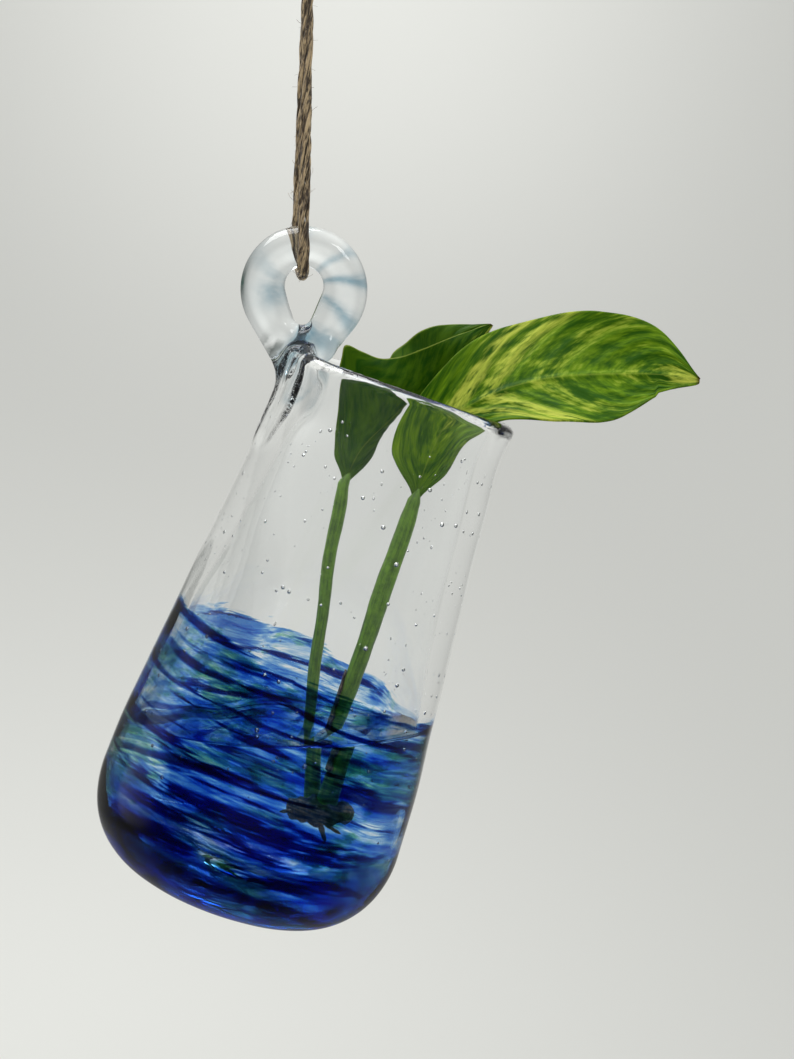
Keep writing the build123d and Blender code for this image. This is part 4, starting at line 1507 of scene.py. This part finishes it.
class VASE_OT_leaves(bpy.types.Operator):
    """Grow the large leaf over the lip and the small one behind it"""

    bl_idname = "vase.leaves"
    bl_label = "Leaves"

    def execute(self, context):
        look = context.scene.vase_cutting
        # After the zones: where the leaf is nicked, past 1 for none, how much painted shade darkens it and
        # how pale its margin is
        for node, stations, stalk, zones, nick, shade, margin in (
            ("leaf_large", LARGE_LEAF, LARGE_STALK, LARGE_ZONES, 0.872, 0.0, 0.06),
            ("leaf_small", SMALL_LEAF, SMALL_STALK, SMALL_ZONES, 2.0, 0.65, 0.3),
        ):
            upper = leaf_material(look, node + "_upper", 0.0, zones, shade, margin)
            under = leaf_material(look, node + "_under", 0.15, zones, shade, margin)
            path = stalk_path(stalk, 60)
            rows, columns = 220, 81
            points, place = leaf_surface(stations, unit(path[-1] - path[-2]), rows, columns, nick)
            piece = mesh_object(node + "_grown", points, sheet_faces(rows, columns), upper, under)
            lay_uv(piece.data, place)
            shell = piece.modifiers.new("thickness", "SOLIDIFY")
            shell.thickness = look.leaf_thickness
            shell.offset = 0.0
            shell.material_offset = 1
            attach(piece, "cutting")
            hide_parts(node)
        return {"FINISHED"}


# Stage

VIEWED = (0.02, 0.0, -0.17)  # the middle of the vase, in metres


def surround_group():
    """How bright the room is in a direction: dimmer to the front, with a dark strip on each side."""
    if "vase_surround" in bpy.data.node_groups:
        return bpy.data.node_groups["vase_surround"]
    inputs = {"Way": "Vector", "Mirrored": "Float"}
    tree, start = new_group("vase_surround", "ShaderNodeTree", inputs, ("Level", "Float"))
    way = wire(tree, "ShaderNodeVectorMath", {0: start["Way"]}, operation="NORMALIZE")
    x, y, z = add(tree, "ShaderNodeSeparateXYZ", {0: way}).outputs
    aside = math(tree, "ABSOLUTE", x)
    mirrored = start["Mirrored"]
    # Where a strip begins and is full, how dark it is, and how dim the front is: through glass, and mirrored
    near, far, dark, dim = (
        wire(tree, "ShaderNodeMix", {0: mirrored, 2: through, 3: off})
        for through, off in ((0.70, 0.26), (0.82, 0.52), (0.15, 0.75), (0.5, 0.9))
    )
    strip = times(tree, ranged(tree, aside, near, far), ranged(tree, aside, 0.92, 0.98, 1.0, 0.0))
    strip = times(tree, strip, ranged(tree, math(tree, "ABSOLUTE", z), 0.3, 0.6, 1.0, 0.0))
    front = times(tree, ranged(tree, y, -0.5, 0.35, 1.0, 0.0), dim)
    below = times(tree, ranged(tree, z, -0.15, -0.6, 0.0, 0.75), mirrored)
    level = 1.0
    for dimmed in (times(tree, strip, dark), front, below):
        level = times(tree, level, less(tree, 1.0, dimmed))
    return end_group(tree, level)


def surround(tree, way, path):
    """The room's level, and 1 for what the camera sees itself."""
    straight = less(tree, 1.0, path.outputs["Is Transmission Ray"])
    mirrored = times(tree, path.outputs["Is Glossy Ray"], straight)
    level = wire(tree, "ShaderNodeGroup", {"Way": way, "Mirrored": mirrored}, node_tree=surround_group())
    return math(tree, "MAXIMUM", level, path.outputs["Is Camera Ray"])


def paper_material(look):
    material, tree = new_material("paper")
    place = coordinates(tree, "Object")
    path = add(tree, "ShaderNodeLightPath")
    glow = 0.0
    for spot, reach, gain in (((-0.01, 0.75, 0.10), 0.34, 0.56), ((-0.16, 0.36, -0.42), 0.5, 0.42)):
        away = add(tree, "ShaderNodeVectorMath", {0: place, 1: spot}, operation="DISTANCE").outputs["Value"]
        glow = plus(tree, glow, ranged(tree, away, 0.0, reach, gain, 0.0))
    way = wire(tree, "ShaderNodeVectorMath", {0: place, 1: VIEWED}, operation="SUBTRACT")
    level = times(tree, plus(tree, glow, 1.0), surround(tree, way, path))
    lifted = plus(tree, times(tree, path.outputs["Is Transmission Ray"], 0.14), 1.0)
    lit = mixed(tree, times(tree, level, lifted), (0.0, 0.0, 0.0, 1.0), tuple(look.paper))
    lit.node.clamp_factor = False
    matte = wire(tree, "ShaderNodeBsdfPrincipled", {"Base Color": tuple(look.paper), "Roughness": 0.9})
    shown = wire(tree, "ShaderNodeEmission", {"Color": lit, "Strength": 1.0})
    seen = math(tree, "MAXIMUM", path.outputs["Is Camera Ray"], path.outputs["Is Glossy Ray"])
    seen = math(tree, "MAXIMUM", seen, path.outputs["Is Transmission Ray"])
    share = less(tree, seen, times(tree, path.outputs["Is Camera Ray"], 0.2))
    front = wire(tree, "ShaderNodeMixShader", {0: share, 1: matte, 2: shown})
    behind = add(tree, "ShaderNodeNewGeometry").outputs["Backfacing"]
    clear = wire(tree, "ShaderNodeBsdfTransparent")
    finish_material(tree, wire(tree, "ShaderNodeMixShader", {0: behind, 1: front, 2: clear}))
    return material


def soft_lamp(name, place, target, size, power):
    lamp = bpy.data.lights.new(name, "AREA")
    lamp.shape = "SQUARE"
    lamp.size = size
    lamp.energy = power
    holder = bpy.data.objects.new(name, lamp)
    holder.location = place
    holder.rotation_euler = (Vector(target) - Vector(place)).to_track_quat("-Z", "Y").to_euler()
    bpy.context.scene.collection.objects.link(holder)


class VASE_OT_stage(bpy.types.Operator):
    """Set the camera, the pale paper sweep and the soft light"""

    bl_idname = "vase.stage"
    bl_label = "Stage"

    def execute(self, context):
        look = context.scene.vase_stage
        self.camera(look)
        self.sweep(look)
        self.light(look)
        scene = context.scene
        scene.view_settings.view_transform = "Standard"
        for kind in ("max_bounces", "transmission_bounces", "glossy_bounces", "transparent_max_bounces"):
            setattr(scene.cycles, kind, LIGHT_BOUNCES)
        return {"FINISHED"}

    def camera(self, look):
        middle = Vector(PICTURE_MIDDLE) * MM
        ahead = Vector((0.0, cos(look.pitch), -sin(look.pitch)))
        right = Vector((1.0, 0.0, 0.0))
        up = right.cross(ahead)
        rolled = right * cos(look.roll) + up * sin(look.roll)
        upright = up * cos(look.roll) - right * sin(look.roll)
        data = bpy.data.cameras.new("camera")
        data.sensor_width = SENSOR
        data.lens = look.focal_pixels / max(PICTURE_SIZE) * SENSOR
        data.clip_start = 0.01
        camera = bpy.data.objects.new("camera", data)
        turn = Matrix((rolled, upright, -ahead)).transposed()
        camera.matrix_world = Matrix.Translation(middle - ahead * look.view_distance) @ turn.to_4x4()
        bpy.context.scene.collection.objects.link(camera)
        bpy.context.scene.camera = camera

    def sweep(self, look):
        """A floor that curves up into a wall."""
        floor, bend, wall, half_width, top = -look.floor_drop, 0.45, 0.75, 4.0, 1.3
        profile = [(-4.0, floor), (0.0, floor)]
        for a in np.linspace(0, pi / 2, 24):
            profile.append((wall - bend + bend * sin(a), floor + bend - bend * cos(a)))
        profile.append((wall, top))
        points = [(x, y, z) for y, z in profile for x in (-half_width, half_width)]
        piece = mesh_object("paper_sweep", points, sheet_faces(len(profile), 2), paper_material(look))

    def light(self, look):
        world = bpy.data.worlds.new("room")
        world.use_nodes = True
        tree = world.node_tree
        tree.nodes.clear()
        way = coordinates(tree, "Generated")
        path = add(tree, "ShaderNodeLightPath")
        around = surround(tree, way, path)
        above = ranged(tree, add(tree, "ShaderNodeSeparateXYZ", {0: way}).outputs[2], 0.2, 0.9, 0.0, 0.7)
        level = plus(tree, times(tree, around, 0.6), above)
        lifted = plus(tree, times(tree, path.outputs["Is Transmission Ray"], 0.2), 1.0)
        level = times(tree, level, lifted)
        room = wire(tree, "ShaderNodeBackground", {"Color": (0.98, 1.0, 1.0, 1.0), "Strength": level})
        seen = wire(tree, "ShaderNodeBackground", {"Color": tuple(look.paper), "Strength": 1.0})
        both = wire(tree, "ShaderNodeMixShader", {0: path.outputs["Is Camera Ray"], 1: room, 2: seen})
        add(tree, "ShaderNodeOutputWorld", {"Surface": both})
        bpy.context.scene.world = world
        target = (0.01, 0.0, -0.16)
        soft_lamp("top_light", (-0.2, 0.1, 0.55), target, 0.6, 5.0)
        soft_lamp("front_fill", (0.5, -0.55, 0.45), target, 0.3, 1.6)


class VASE_PT_panel(bpy.types.Panel):
    """The vase's pieces, in the order that they are made"""

    bl_label = "Propagation vase"
    bl_idname = "VASE_PT_panel"
    bl_space_type = "VIEW_3D"
    bl_region_type = "UI"
    bl_category = "Vase"

    def draw(self, context):
        for operator in OPERATORS:
            self.layout.operator(operator.bl_idname)


OPERATORS = (
    VASE_OT_stage, VASE_OT_twine, VASE_OT_glass, VASE_OT_swirl, VASE_OT_water, VASE_OT_stems, VASE_OT_leaves,
)
CLASSES = (*SETTINGS.values(), *OPERATORS, VASE_PT_panel)


def register():
    for kind in CLASSES:
        bpy.utils.register_class(kind)
    for name, kind in SETTINGS.items():
        setattr(bpy.types.Scene, name, PointerProperty(type=kind))


def unregister():
    for name in SETTINGS:
        delattr(bpy.types.Scene, name)
    for kind in reversed(CLASSES):
        bpy.utils.unregister_class(kind)


def main():
    register()
    for operator in OPERATORS:
        group, name = operator.bl_idname.split(".")
        getattr(getattr(bpy.ops, group), name)()


if __name__ == "__main__":
    main()
